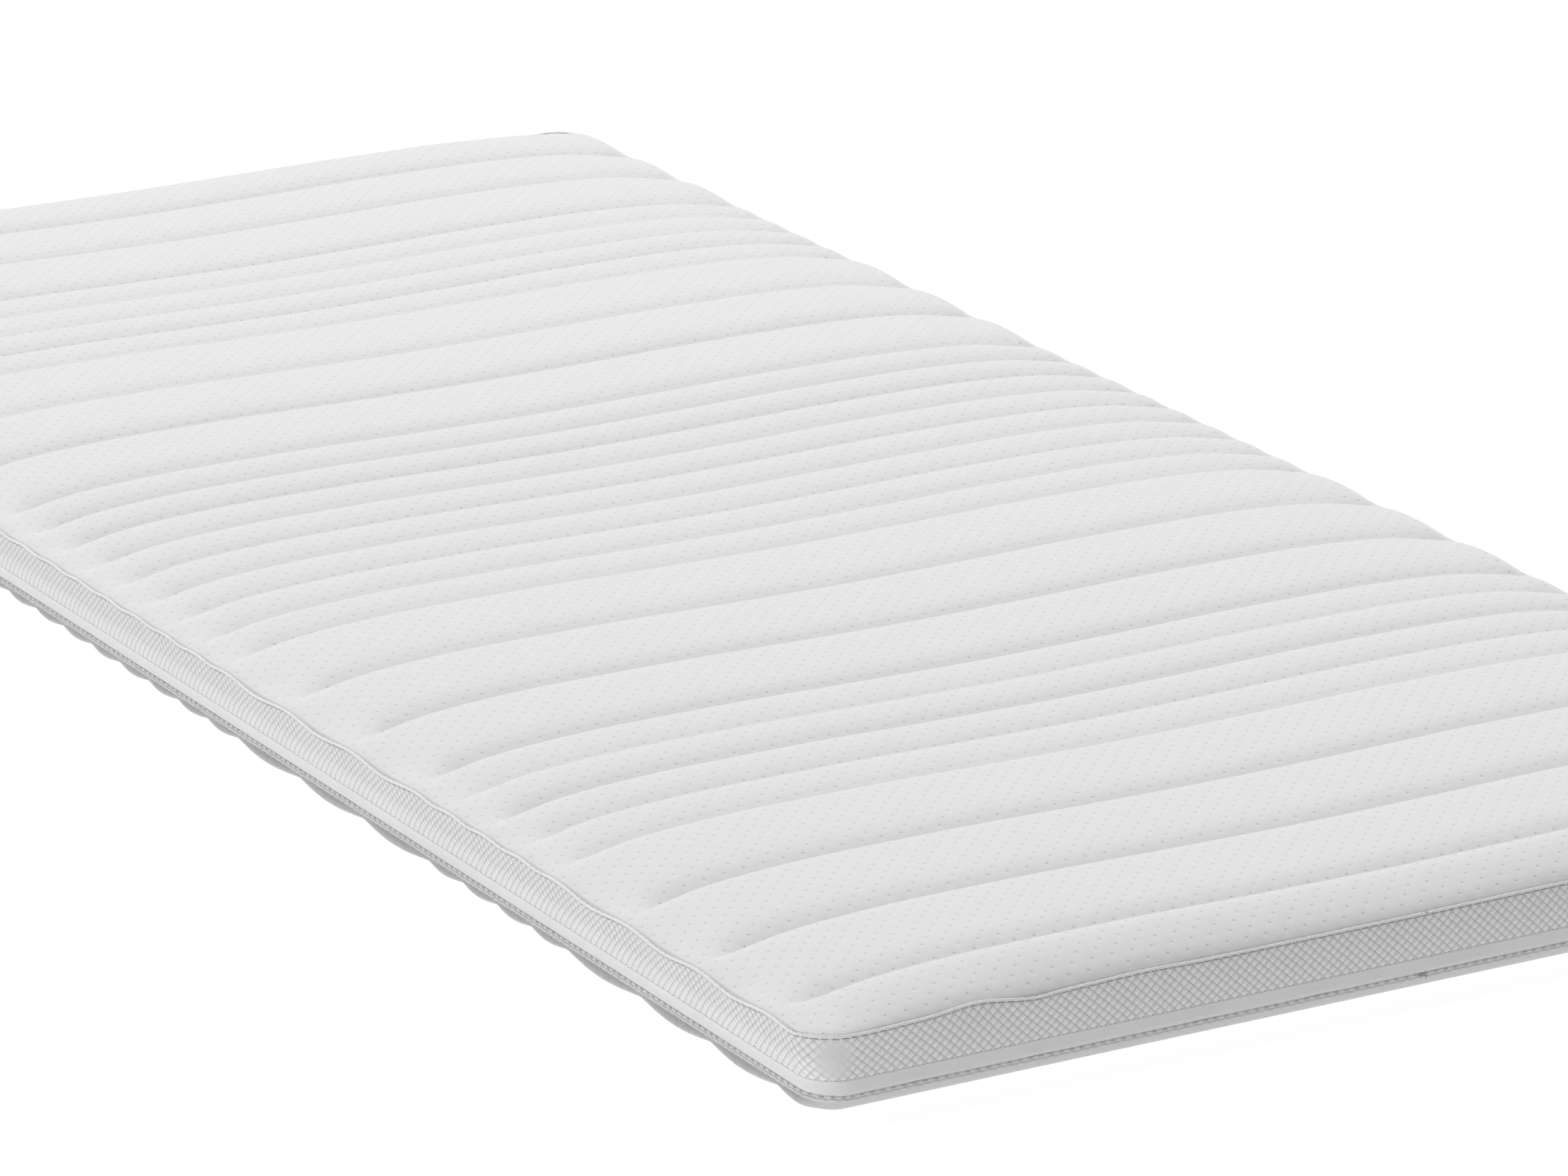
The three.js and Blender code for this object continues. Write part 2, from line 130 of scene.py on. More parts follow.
def short_side_wave(x, y):
    """How far the seam of the foot or head side is lifted at x."""
    foot, head = (
        sum(height * np.exp(-(((x - middle) / reach) ** 2)) for middle, height, reach in waves)
        for waves in (FOOT_WAVES, HEAD_WAVES)
    )
    return np.where(y < 0, foot, head)


def seam_shift(x, y):
    """(rise, outward x, outward y) of the top seam next to a point."""
    long_side = np.exp(-(HALF_X - np.abs(x)) / SEAM_REACH)
    short_side = np.exp(-(HALF_Y - np.abs(y)) / SEAM_REACH)
    sag = np.where(x < 0, wave(straightened(y, 0)), 0)
    rise = -SEAM_DROP * sag * long_side + short_side_wave(x, y) * short_side
    out_x = np.sign(x) * SEAM_BULGE * sag * long_side
    out_y = np.sign(y) * -DRAWN_IN * short_side_wave(x, y) * short_side
    return rise, out_x, out_y


# ---- The long sides lean in towards the bottom seam ----
LEAN = 0.0056
LEAN_INSETS = (0.035, 0.005)  # it starts at the first distance from a long side, and is full at the second
LEAN_HEIGHTS = (0.040, 0.010)


def leaned(points):
    """Moves points near the long sides in, the lower the more."""
    x, z = points[:, 0], points[:, 2]
    share = smooth(*LEAN_INSETS, HALF_X - np.abs(x)) * smooth(*LEAN_HEIGHTS, z)
    return points - np.stack([np.sign(x) * LEAN * share, 0 * x, 0 * x], -1)


# ---- Meshes ----


def new_object(name, vertices, faces, smooth_faces=True):
    mesh = bpy.data.meshes.new(name)
    mesh.from_pydata(np.asarray(vertices, float).reshape(-1, 3).tolist(), [], faces)
    mesh.validate()
    mesh.update()
    if smooth_faces:
        mesh.polygons.foreach_set("use_smooth", [True] * len(mesh.polygons))
    obj = bpy.data.objects.new(name, mesh)
    bpy.context.scene.collection.objects.link(obj)
    return obj


def grid_faces(rows, columns, wrap_rows=False, wrap_columns=False):
    i = np.arange(rows if wrap_rows else rows - 1)
    j = np.arange(columns if wrap_columns else columns - 1)
    i, j = (a.ravel() for a in np.meshgrid(i, j, indexing="ij"))
    i2, j2 = (i + 1) % rows, (j + 1) % columns
    quads = [i * columns + j, i2 * columns + j, i2 * columns + j2, i * columns + j2]
    return np.stack(quads, -1).tolist()


def tube_faces(count, rings, sides):
    """Faces of a number of short closed tubes, whose points follow one another."""
    one = grid_faces(rings, sides, wrap_columns=True)
    one += [list(range(sides))[::-1], list(range((rings - 1) * sides, rings * sides))]
    return [[n * rings * sides + i for i in face] for n in range(count) for face in one]


def set_uv(obj, uv):
    """Gives each vertex a place in metres on its cloth, as a UV map."""
    mesh = obj.data
    layer = mesh.uv_layers.new(name="cloth")
    corners = np.zeros(len(mesh.loops), int)
    mesh.loops.foreach_get("vertex_index", corners)
    layer.data.foreach_set("uv", np.asarray(uv, np.float32).reshape(-1, 2)[corners].ravel())


def points_of(obj):
    points = np.zeros(len(obj.data.vertices) * 3)
    obj.data.vertices.foreach_get("co", points)
    return points.reshape(-1, 3)


def set_points(obj, points):
    obj.data.vertices.foreach_set("co", np.asarray(points).ravel())
    obj.data.update()


def subdivide(obj):
    divide = obj.modifiers.new("Subdivision", "SUBSURF")
    divide.levels = divide.render_levels = 1
    apply_modifiers(obj)


def apply_modifiers(obj):
    made = bpy.data.meshes.new_from_object(obj.evaluated_get(bpy.context.evaluated_depsgraph_get()))
    obj.modifiers.clear()
    old = obj.data
    obj.data = made
    bpy.data.meshes.remove(old)
    made.polygons.foreach_set("use_smooth", [True] * len(made.polygons))


def finish_piece(obj, body, material, replaces=()):
    set_points(obj, leaned(points_of(obj)))
    obj.data.materials.clear()
    obj.data.materials.append(material)
    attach(obj, body)
    if replaces:
        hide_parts(*replaces)
    return obj


def panel_plan(xs, ys):
    """A grid's plan places with rounded corners, and how far each is from the long and the short sides."""
    x, y = np.meshgrid(xs, ys, indexing="ij")
    qx = np.maximum(np.abs(x) - STRAIGHT_X, 0)
    qy = np.maximum(np.abs(y) - STRAIGHT_Y, 0)
    scale = np.maximum(qx, qy) / np.maximum(np.hypot(qx, qy), 1e-9)
    round_x = np.sign(x) * (np.abs(x) - qx + qx * scale)
    round_y = np.sign(y) * (np.abs(y) - qy + qy * scale)
    return round_x, round_y, HALF_X - np.abs(x), HALF_Y - np.abs(y)


def spaced(low, high, count, crowding):
    """Numbers from low to high that crowd towards both ends."""
    s = np.linspace(0, 1, count + 1)
    return low + (high - low) * (s - crowding * np.sin(2 * np.pi * s) / (2 * np.pi))


def quilt_rows(step=0.0058, crowding=0.75):
    """y places for a panel's rows, with one on each quilting line and more beside it."""
    rows = [np.array([EDGES[0]])]
    for low, high in zip(EDGES[:-1], EDGES[1:]):
        count = max(4, round((high - low) / step))
        rows.append(spaced(low, high, count, crowding)[1:])
    return np.concatenate(rows)


PANEL_COLUMNS = 76
PANEL_X = spaced(-HALF_X, HALF_X, PANEL_COLUMNS, 0.78)
PANEL_Y = quilt_rows()


def on_line(y):
    return np.min(np.abs(y[:, None] - LINES), axis=1) < 1e-6


# ---- The top panel's shape ----
# Its crown above the seam: the rise against the distance from a long side, and the share of that rise against
# the distance from a short side.
CROWN_ACROSS = np.array([
    (0, 0), (0.010, 0.0014), (0.025, 0.0040), (0.06, 0.0100), (0.10, 0.0131), (0.16, 0.0151), (0.24, 0.0152),
    (0.34, 0.0136), (HALF_X, 0.0125),
])
CROWN_ALONG = np.array([
    (0, 0), (0.004, 0.20), (0.010, 0.42), (0.02, 0.66), (0.034, 0.86), (0.055, 1.0), (1.0, 1.0),
])
ROLL = (0.0023, 0.003)  # how far the cloth rolls up straight out of the seam, and how far in
PUFF = 0.0016
GROOVE = 0.0068  # depth of the crease along a line
GROOVE_REACH = (0.0034, 0.0115)  # how far it reaches: the cloth rises steeply from it towards the foot
CREASE = 0.0008  # half width of the crease's floor
LEFT_FADE = (0.004, 0.040)  # the creases fade out between these distances from each long side
RIGHT_FADE = (0.0, 0.012)
EDGE_PUFF = (0.008, 0.004, 0.030)  # height, how far in it rises, and how far in it falls again
FACE_LIFT = 0.0005  # of the face's rim above the middle of the seam's cord
PUFF_FADE = 0.022
RIM_OUT = (0.0006, 0.0008)  # how far the rim reaches out into the cord, and how far in that fades


def smooth_table(table, value):
    """A table read with a smooth curve through its points."""
    x, y = table[:, 0], table[:, 1]
    secant = np.diff(y) / np.diff(x)
    before, after = secant[:-1], secant[1:]
    level = before * after <= 0
    inner = np.where(level, 0, 2 * before * after / np.where(level, 1, before + after))
    slope = np.concatenate([secant[:1], inner, [0]])
    k = np.clip(np.searchsorted(x, value) - 1, 0, len(x) - 2)
    h = x[k + 1] - x[k]
    t = np.clip((value - x[k]) / h, 0, 1)
    h00, h10 = (1 + 2 * t) * (1 - t) ** 2, t * (1 - t) ** 2
    h01, h11 = t * t * (3 - 2 * t), t * t * (t - 1)
    return h00 * y[k] + h10 * h * slope[k] + h01 * y[k + 1] + h11 * h * slope[k + 1]


def crown_height(ix, iy):
    crown = smooth_table(CROWN_ACROSS, ix) * smooth_table(CROWN_ALONG, iy)
    height, reach = ROLL
    return crown + height * (1 - np.exp(-np.minimum(ix, iy) / reach))


def edge_puff(x, ix, pattern_y):
    """How far the cloth puffs up between two lines just inside the right side's seam."""
    height, rise, reach = EDGE_PUFF
    return height * (1 - np.exp(-ix / rise)) * np.exp(-ix / reach) * swell(pattern_y, 2.0, 0.6) * (x > 0)


def groove(x, y, ix):
    """How deep the stitches pull the cloth in at y on the straight pattern."""
    k = np.clip(np.searchsorted(LINES, y), 1, len(LINES) - 1)
    sides = np.stack([k - 1, k], -1)
    past = y[..., None] - LINES[sides]
    reach = np.where(past < 0, *GROOVE_REACH)
    away = np.hypot(past, CREASE) - CREASE
    fade = np.where(x < 0, smooth(*LEFT_FADE, ix), smooth(*RIGHT_FADE, ix))
    return np.sum(GROOVE * LINE_DEPTH[sides] * np.exp(-away / reach), axis=-1) * fade


FRAMES = 20  # of the cloth simulation


def inflate(obj, pinned, most, share):
    """Where a panel's points end when a cloth simulation puffs it up between its pinned points. How far each
    point moves is capped, and a share of that is kept."""
    rest = points_of(obj)
    group = obj.vertex_groups.new(name="stitched")
    group.add([int(i) for i in np.flatnonzero(pinned)], 1.0, "REPLACE")
    cloth = obj.modifiers.new("Cloth", "CLOTH")
    settings = cloth.settings
    settings.vertex_group_mass = "stitched"
    settings.quality = 4
    settings.mass = 0.3
    settings.tension_stiffness = settings.compression_stiffness = 12
    settings.shear_stiffness = 4
    settings.bending_stiffness = 0.4
    settings.use_pressure = True
    settings.uniform_pressure_force = 4
    settings.effector_weights.gravity = 0
    cloth.collision_settings.use_collision = False
    cloth.point_cache.frame_start, cloth.point_cache.frame_end = 1, FRAMES
    scene = bpy.context.scene
    for number in range(1, FRAMES + 1):
        scene.frame_set(number)
    puffed = obj.evaluated_get(bpy.context.evaluated_depsgraph_get()).to_mesh()
    moved = np.array([v.co for v in puffed.vertices]) - rest
    scene.frame_set(1)
    obj.modifiers.remove(cloth)
    obj.vertex_groups.remove(group)
    size = np.linalg.norm(moved, axis=1)
    moved *= (share * most * np.tanh(size / most) / np.maximum(size, 1e-9))[:, None]
    return rest + moved


def top_quilt():
    x, y, ix, iy = panel_plan(PANEL_X, PANEL_Y)
    pattern_y = y.copy()
    y = bent(y, ix)
    rise, out_x, out_y = seam_shift(x, y)
    z = TOP_SEAM_Z + FACE_LIFT + rise + crown_height(ix, iy) + edge_puff(x, ix, pattern_y)
    tuck, fade = RIM_OUT
    out_x = out_x + np.sign(x) * tuck * np.exp(-ix / fade)
    out_y = out_y + np.sign(y) * tuck * np.exp(-iy / fade)
    vertices = np.stack([x + out_x, y + out_y, z], -1)
    obj = new_object("top_quilt_face", vertices, grid_faces(*x.shape))
    rows = np.broadcast_to(on_line(PANEL_Y), x.shape)
    inset = np.minimum(ix, iy)
    points = inflate(obj, (rows | (inset < 1e-6)).ravel(), PUFF, smooth(0, PUFF_FADE, inset).ravel())
    set_points(obj, points)
    subdivide(obj)
    points = points_of(obj)
    inset = HALF_X - np.abs(points[:, 0])
    points[:, 2] -= groove(points[:, 0], straightened(points[:, 1], inset), inset)
    set_points(obj, points)
    return obj


# ---- Round the border ----
TURN = CORNER * math.pi / 2
SEGMENT_LENGTHS = [
    STRAIGHT_X, TURN, 2 * STRAIGHT_Y, TURN, 2 * STRAIGHT_X, TURN, 2 * STRAIGHT_Y, TURN, STRAIGHT_X,
]
SEGMENT_STARTS = np.concatenate([[0], np.cumsum(SEGMENT_LENGTHS)])
AROUND = SEGMENT_STARTS[-1]
HEAD_MIDDLE = (SEGMENT_STARTS[4] + SEGMENT_STARTS[5]) / 2
# Each straight stretch: where it starts, and its direction.
STRAIGHTS = {
    0: ((0, -HALF_Y), (1, 0)), 2: ((HALF_X, -STRAIGHT_Y), (0, 1)), 4: ((STRAIGHT_X, HALF_Y), (-1, 0)),
    6: ((-HALF_X, STRAIGHT_Y), (0, -1)), 8: ((-STRAIGHT_X, -HALF_Y), (1, 0)),
}
# Each corner: its centre, and the angle it starts at.
CORNERS = {
    1: ((STRAIGHT_X, -STRAIGHT_Y), -math.pi / 2), 3: ((STRAIGHT_X, STRAIGHT_Y), 0),
    5: ((-STRAIGHT_X, STRAIGHT_Y), math.pi / 2), 7: ((-STRAIGHT_X, -STRAIGHT_Y), math.pi),
}


def around(run):
    """(x, y, normal x, normal y) at each distance along the border, anticlockwise from the foot's middle."""
    run = np.asarray(run, float) % AROUND
    out = np.zeros((4, *run.shape))
    part = np.clip(np.searchsorted(SEGMENT_STARTS, run, side="right") - 1, 0, 8)
    for k, ((x, y), (dx, dy)) in STRAIGHTS.items():
        here = part == k
        along = run[here] - SEGMENT_STARTS[k]
        out[:, here] = [x + dx * along, y + dy * along, np.full(along.shape, dy), np.full(along.shape, -dx)]
    for k, ((x, y), start) in CORNERS.items():
        here = part == k
        angle = start + (run[here] - SEGMENT_STARTS[k]) / CORNER
        c, s = np.cos(angle), np.sin(angle)
        out[:, here] = [x + CORNER * c, y + CORNER * s, c, s]
    return out


PAST = 0.001  # how far past a corner the short sides' strips reach
RIGHT_START, RIGHT_END = SEGMENT_STARTS[2] + PAST, SEGMENT_STARTS[3] - PAST
LEFT_START, LEFT_END = SEGMENT_STARTS[6] + PAST, SEGMENT_STARTS[7] - PAST
SIDES = {
    "right": (RIGHT_START, RIGHT_END),
    "head": (RIGHT_END, LEFT_START),
    "left": (LEFT_START, LEFT_END),
    "foot": (LEFT_END, RIGHT_START + AROUND),
}


def along_border(name, run, out, z, along=None, closed_run=False, closed_section=False, capped=False):
    """A surface that runs along the border: point k of its section at run i is out[i, k] proud of it, and its
    height is z[i, k]. along[k] is point k's place across the cloth, for its UV map."""
    x, y, nx, ny = around(run)
    out, z = np.broadcast_arrays(out, z)
    rows, count = z.shape
    points = np.stack([x[:, None] + nx[:, None] * out, y[:, None] + ny[:, None] * out, z], -1).reshape(-1, 3)
    faces = grid_faces(rows, count, wrap_rows=closed_run, wrap_columns=closed_section)
    along = np.arange(count) * MM if along is None else along
    uv = np.stack(np.broadcast_arrays(run[:, None], along), -1).reshape(-1, 2)
    if capped:
        ends = np.concatenate([np.arange(count), np.arange(count) + (rows - 1) * count])
        start, middle = len(points), len(points) + count
        faces += [list(range(start, middle))[::-1], list(range(middle, middle + count))]
        points, uv = np.concatenate([points, points[ends]]), np.concatenate([uv, uv[ends]])
    obj = new_object(name, points, faces)
    set_uv(obj, uv)
    return obj


def all_along(section, run):
    """(out, z) of a section that is the same all along a run."""
    across = np.broadcast_to(section, (len(run), *section.shape))
    return across[..., 0], across[..., 1]


def steps(start, end, step):
    return np.linspace(start, end, max(2, round((end - start) / step) + 1))


def border_shift(run):
    """(rise, outward shift) of the top seam at each distance along the border."""
    x, y, nx, ny = around(run)
    rise, out_x, out_y = seam_shift(x, y)
    return rise, nx * out_x + ny * out_y


# The mesh is knitted in raised pads, staggered from row to row.
PAD_PITCH = 0.0069
PAD_RISE = 0.0065
PAD_HEIGHT = 0.0008
BORDER_BULGE = 0.0008
BORDER_DROP = 0.0012  # of its top edge, below the middle of the cord
BORDER_SET_IN = 0.0004


def pads(run, rise):
    a = run / PAD_PITCH + rise / PAD_RISE
    b = run / PAD_PITCH - rise / PAD_RISE
    fa, fb = (2 * np.abs(v - np.round(v)) for v in (a, b))
    return (1 - fa**4) * (1 - fb**4)


# Close to each corner the mesh of the short sides is stretched smooth: (centre, half width) along x, y and z.
STRETCHED = ((0.431, 0.012), (HALF_Y, 0.010), (0.039, 0.013))


def stretched(x, y, z):
    """1 where the mesh is stretched smooth, and 0 away from there."""
    off = [((abs(v) - centre) / half) ** 2 for v, (centre, half) in zip((x, y, z), STRETCHED)]
    return smooth(1.9, 0.0, sum(off))


def mesh_border(side, material):
    start, end = SIDES[side]
    run = steps(start, end, PAD_PITCH / 6)
    levels = np.linspace(0, 1, 25)
    x, y, _, _ = around(run)
    rise, bulge = border_shift(run)
    top = TOP_SEAM_Z - BORDER_DROP + rise
    base = HEAD_BORDER_BASE_Z if side == "head" else BORDER_BASE_Z
    z = base + (top - base)[:, None] * levels
    height = (TOP_SEAM_Z - base) * levels
    relief = pads(run[:, None], height) * PAD_HEIGHT
    relief = relief * smooth(0, 0.06, levels) * smooth(0, 0.08, 1 - levels)
    relief = relief * (1 - stretched(x[:, None], y[:, None], z))
    out = BORDER_BULGE * 4 * levels * (1 - levels) + relief + bulge[:, None] * levels**2 - BORDER_SET_IN
    obj = along_border(f"mesh_border_{side}", run, out, z, along=height)
    return finish_piece(obj, "upper_cover", material, [f"border_{side}"])


# ---- Cords and stitches ----
# Each seam: its height, 1 if it waves, and the body it is sewn to.
SEAMS = {"top": (TOP_SEAM_Z, 1, "upper_cover"), "bottom": (BOTTOM_SEAM_Z, 0, "lower_cover")}
CORD_OUT = 0.0015
AHEAD = 0.001  # how far ahead along the border a stitch's direction is read
# The section of the strip between the bottom cord and the flap, as (out, height) in mm.
BINDING = [(2.0, 11.6), (1.9, 12.5), (1.7, 13.4), (1.4, 14.1), (1.0, 14.4), (-0.4, 14.0), (-0.4, 11.4)]


def seam_cord(seam, radius, bead, pitch, material):
    """A cord sewn into a seam, nipped by its stitches."""
    seam_z, wavy, body = SEAMS[seam]
    run = np.linspace(0, AROUND, round(AROUND / pitch) * 5, endpoint=False)
    angle = np.linspace(0, 2 * math.pi, 8, endpoint=False)
    rise, bulge = border_shift(run)
    phase = 2 * math.pi * run[:, None] / pitch
    r = radius * (1 + bead * np.cos(phase + angle))
    out = CORD_OUT + r * np.cos(angle) + (wavy * bulge)[:, None]
    z = seam_z + (wavy * rise)[:, None] + r * np.sin(angle)
    along = angle * radius
    obj = along_border(f"{seam}_piping", run, out, z, along=along, closed_run=True, closed_section=True)
    return finish_piece(obj, body, material, [f"{seam}_seam_cord"])


def stitches(name, centres, directions, ups, length, radius):
    """Short rounded threads, all in one mesh."""
    centres, directions, ups = (np.asarray(a, float) for a in (centres, directions, ups))
    directions /= np.linalg.norm(directions, axis=1)[:, None]
    sideways = np.cross(directions, ups)
    sideways /= np.linalg.norm(sideways, axis=1)[:, None]
    ups = np.cross(sideways, directions)
    places, sizes = np.array([-0.5, -0.3, 0.3, 0.5]) * length, np.array([0.35, 1, 1, 0.35]) * radius
    angles = np.linspace(0, 2 * math.pi, 5, endpoint=False)
    ring = (
        directions[:, None, None, :] * places[None, :, None, None]
        + sideways[:, None, None, :] * (sizes[:, None] * np.cos(angles))[None, :, :, None]
        + ups[:, None, None, :] * (sizes[:, None] * np.sin(angles))[None, :, :, None]
    )
    points = centres[:, None, None, :] + ring
    return new_object(name, points, tube_faces(len(centres), len(sizes), len(angles)))


def seam_stitches(seam, pitch, length, radius, out, up, material):
    seam_z, wavy, body = SEAMS[seam]
    run = np.linspace(0, AROUND, round(AROUND / pitch), endpoint=False)
    x, y, nx, ny = around(run)
    rise, bulge = border_shift(run)
    out = out + wavy * bulge
    centres = np.stack([x + nx * out, y + ny * out, seam_z + up + wavy * rise], -1)
    ahead = around(run + AHEAD)
    lift = border_shift(run + AHEAD)[0] - rise
    directions = np.stack([ahead[0] - x, ahead[1] - y, wavy * lift], -1)
    ups = np.stack([nx, ny, 0 * nx], -1)
    obj = stitches(f"{seam}_seam_stitches", centres, directions, ups, length, radius)
    return finish_piece(obj, body, material)


def seam_binding(material):
    """A narrow folded strip between the bottom cord and the flap, which the stitches go through."""
    run = np.linspace(0, AROUND, round(AROUND / 0.006), endpoint=False)
    out, z = all_along(np.array(BINDING) * MM, run)
    obj = along_border("bottom_seam_binding", run, out, z, closed_run=True, closed_section=True)
    return finish_piece(obj, "lower_cover", material)


# ---- Zip flap ----
# Sections from the top edge, down the outside and back up the inside, as (out, height) in mm. The flap lies
# nearly flat, and it stands off more along the head side, where the slider is under it.
FLAT_FLAP = [
    (-0.3, 24.3), (0.2, 24.3), (0.5, 24.0), (0.6, 23.3), (0.7, 22.3), (0.8, 21.5), (0.9, 20.9), (1.0, 19.6),
    (1.3, 17.6), (1.4, 15.8), (1.2, 14.8), (0.7, 14.2), (0.2, 14.4), (0.2, 16.0), (0.2, 18.0), (0.2, 20.0),
    (0.0, 22.0), (-0.2, 23.3),
]
HEAD_FLAP = [
    (0.3, 28.3), (0.9, 28.5), (1.9, 28.2), (2.8, 27.3), (3.1, 26.6), (3.6, 25.2), (4.2, 23.0), (4.4, 20.5),
    (4.4, 18.0), (4.3, 16.0), (4.1, 14.4), (3.8, 14.0), (3.4, 14.2), (3.5, 16.8), (3.6, 20.5), (3.4, 24.0),
    (2.6, 26.2), (0.4, 28.0),
]
HEAD_FLAP_END = 0.414
FLAP_GAP = 0.0003
FLAP_RIPPLES = [(0.00022, 57, 0), (0.00018, 138, 1)]  # of its lower edge: height, number all round, and phase
FLAP_TURN = 0.10  # the side strips come to stand off over this length before the head's corners
# Where each strip runs: the head one stops short of the corners, so that it can swing up.
SWING_START, SWING_END = HEAD_MIDDLE - HEAD_FLAP_END, HEAD_MIDDLE + HEAD_FLAP_END
FLAP_RUNS = {
    "foot": (LEFT_END, RIGHT_START + AROUND),
    "right": (RIGHT_START, SWING_START - FLAP_GAP),
    "left": (SWING_END + FLAP_GAP, LEFT_END),
    "head": (SWING_START, SWING_END),
}


def zip_flap(side, material):
    start, end = FLAP_RUNS[side]
    run = steps(start, end, 0.004)
    flat, proud = np.array(FLAT_FLAP) * MM, np.array(HEAD_FLAP) * MM
    to_head = smooth(STRAIGHT_Y - FLAP_TURN, STRAIGHT_Y, around(run)[1])[:, None, None]
    profile = flat * (1 - to_head) + proud * to_head
    turn = 2 * np.pi * run / AROUND
    ripple = sum(height * np.sin(number * turn + phase) for height, number, phase in FLAP_RIPPLES)
    low = smooth(0.024, 0.014, profile[..., 1])
    out = profile[..., 0] + 0.6 * ripple[:, None] * low
    z = profile[..., 1] + ripple[:, None] * low
    lengths = np.concatenate([[0], np.cumsum(np.hypot(*np.diff(flat, axis=0).T))])
    obj = along_border(f"flap_{side}", run, out, z, along=lengths, closed_section=True, capped=True)
    body = "head_flap" if side == "head" else "upper_cover"
    return finish_piece(obj, body, material, [f"zip_flap_{side}"])


# ---- Bottom panel ----
UNDER_RIM = 0.0112
# Shares of the rim's height against the distance from the rim: midway between two lines, and on a line.
UNDER_SWELL = np.array([
    (0, 1), (0.001, 0.87), (0.002, 0.71), (0.0033, 0.53), (0.005, 0.35), (0.0072, 0.19), (0.010, 0.08),
    (0.0136, 0.02), (0.020, 0), (1, 0),
])
UNDER_LINE = np.array([
    (0, 1), (0.001, 0.86), (0.002, 0.74), (0.0033, 0.64), (0.005, 0.57), (0.0072, 0.52), (0.010, 0.48),
    (0.020, 0.41), (0.06, 0.32), (1, 0.30),
])
# How far each bulges out past the long sides' bottom seam.
SWELL_OUT = np.array([
    (0, 0), (0.001, 0.0028), (0.002, 0.0046), (0.0033, 0.0061), (0.005, 0.0074), (0.0072, 0.0079),
    (0.010, 0.0078), (0.014, 0.0070), (0.020, 0.0046), (0.035, 0.0006), (0.045, 0), (1, 0),
])
LINE_OUT = np.array([
    (0, 0), (0.001, 0.0023), (0.002, 0.0035), (0.0033, 0.0043), (0.005, 0.0047), (0.0072, 0.0050),
    (0.010, 0.0050), (0.020, 0.0028), (0.035, 0.0003), (0.045, 0), (1, 0),
])
UNDER_BEND = 1.5  # the bottom panel's lines bend more than the top panel's, by this factor
UNDER_X = spaced(-HALF_X, HALF_X, PANEL_COLUMNS, 0.92)


def under_swell(pattern_y):
    return swell(pattern_y, 1.9, 0.35)


def under_height(pattern_y, ix, iy):
    """Height of the bottom panel's underside: it lies flat midway between two lines, and is pulled up at each
    line. The end channels are sewn into the short sides' seam, and roll under it evenly."""
    inset = np.minimum(ix, iy)
    free = under_swell(pattern_y)
    at_long_side = smooth(-0.004, 0.004, iy - ix)
    inside = smooth(0.010, 0.030, iy)
    held = (1 - free) * np.maximum(at_long_side, inside)
    flat, pulled = smooth_table(UNDER_SWELL, inset), smooth_table(UNDER_LINE, inset)
    return UNDER_RIM * (flat * (1 - held) + pulled * held)


def bottom_quilt():
    x, y, ix, iy = panel_plan(UNDER_X, PANEL_Y)
    free = under_swell(y)
    bulge = smooth_table(SWELL_OUT, ix) * free + smooth_table(LINE_OUT, ix) * (1 - free)
    bulge = bulge * smooth(0, 0.020, iy)
    bent_y = y - UNDER_BEND * bend(y, ix)
    points = np.stack([x + np.sign(x) * bulge, bent_y, under_height(y, ix, iy)], -1)
    obj = new_object("bottom_quilt_face", points, [face[::-1] for face in grid_faces(*x.shape)])
    subdivide(obj)
    return obj


# ---- Fillings and core ----
THINNEST = 0.0005
SHORTEST_STEP = 0.001  # between a filling's last two rows
SIDE_ROWS = 3
BLOCK_X = spaced(-HALF_X, HALF_X, 44, 0.85)
BLOCK_Y = quilt_rows(0.012, 0.5)
# The core's top against the distance from the border. Its lower edge rounds up: how high, and how far in.
CORE_TOP = np.array([
    (0.005, 0.0506), (0.010, 0.0535), (0.025, 0.0562), (0.045, 0.0582), (0.070, 0.0594), (0.160, 0.0608),
    (1.0, 0.0608),
])
CORE_EDGE = (0.003, 0.002)
UNDER_FACE = 0.0015  # from the top face down to its wadding
LEAST_WADDING = 0.0016  # with the backing under it
UNDER_WADDING = 0.0024  # from the top of the wadding down to the core, at the least
ON_CORE = 0.0006
BACKING = 0.0007
BACKING_LIFT = 0.0014  # of the top backing at a line
BACKING_SAG = 0.0003  # of the bottom backing at a line
BOTTOM_BACKING_Z = 0.0096
BOTTOM_CLOTH = 0.0012
BETWEEN_LAYERS = 0.0002


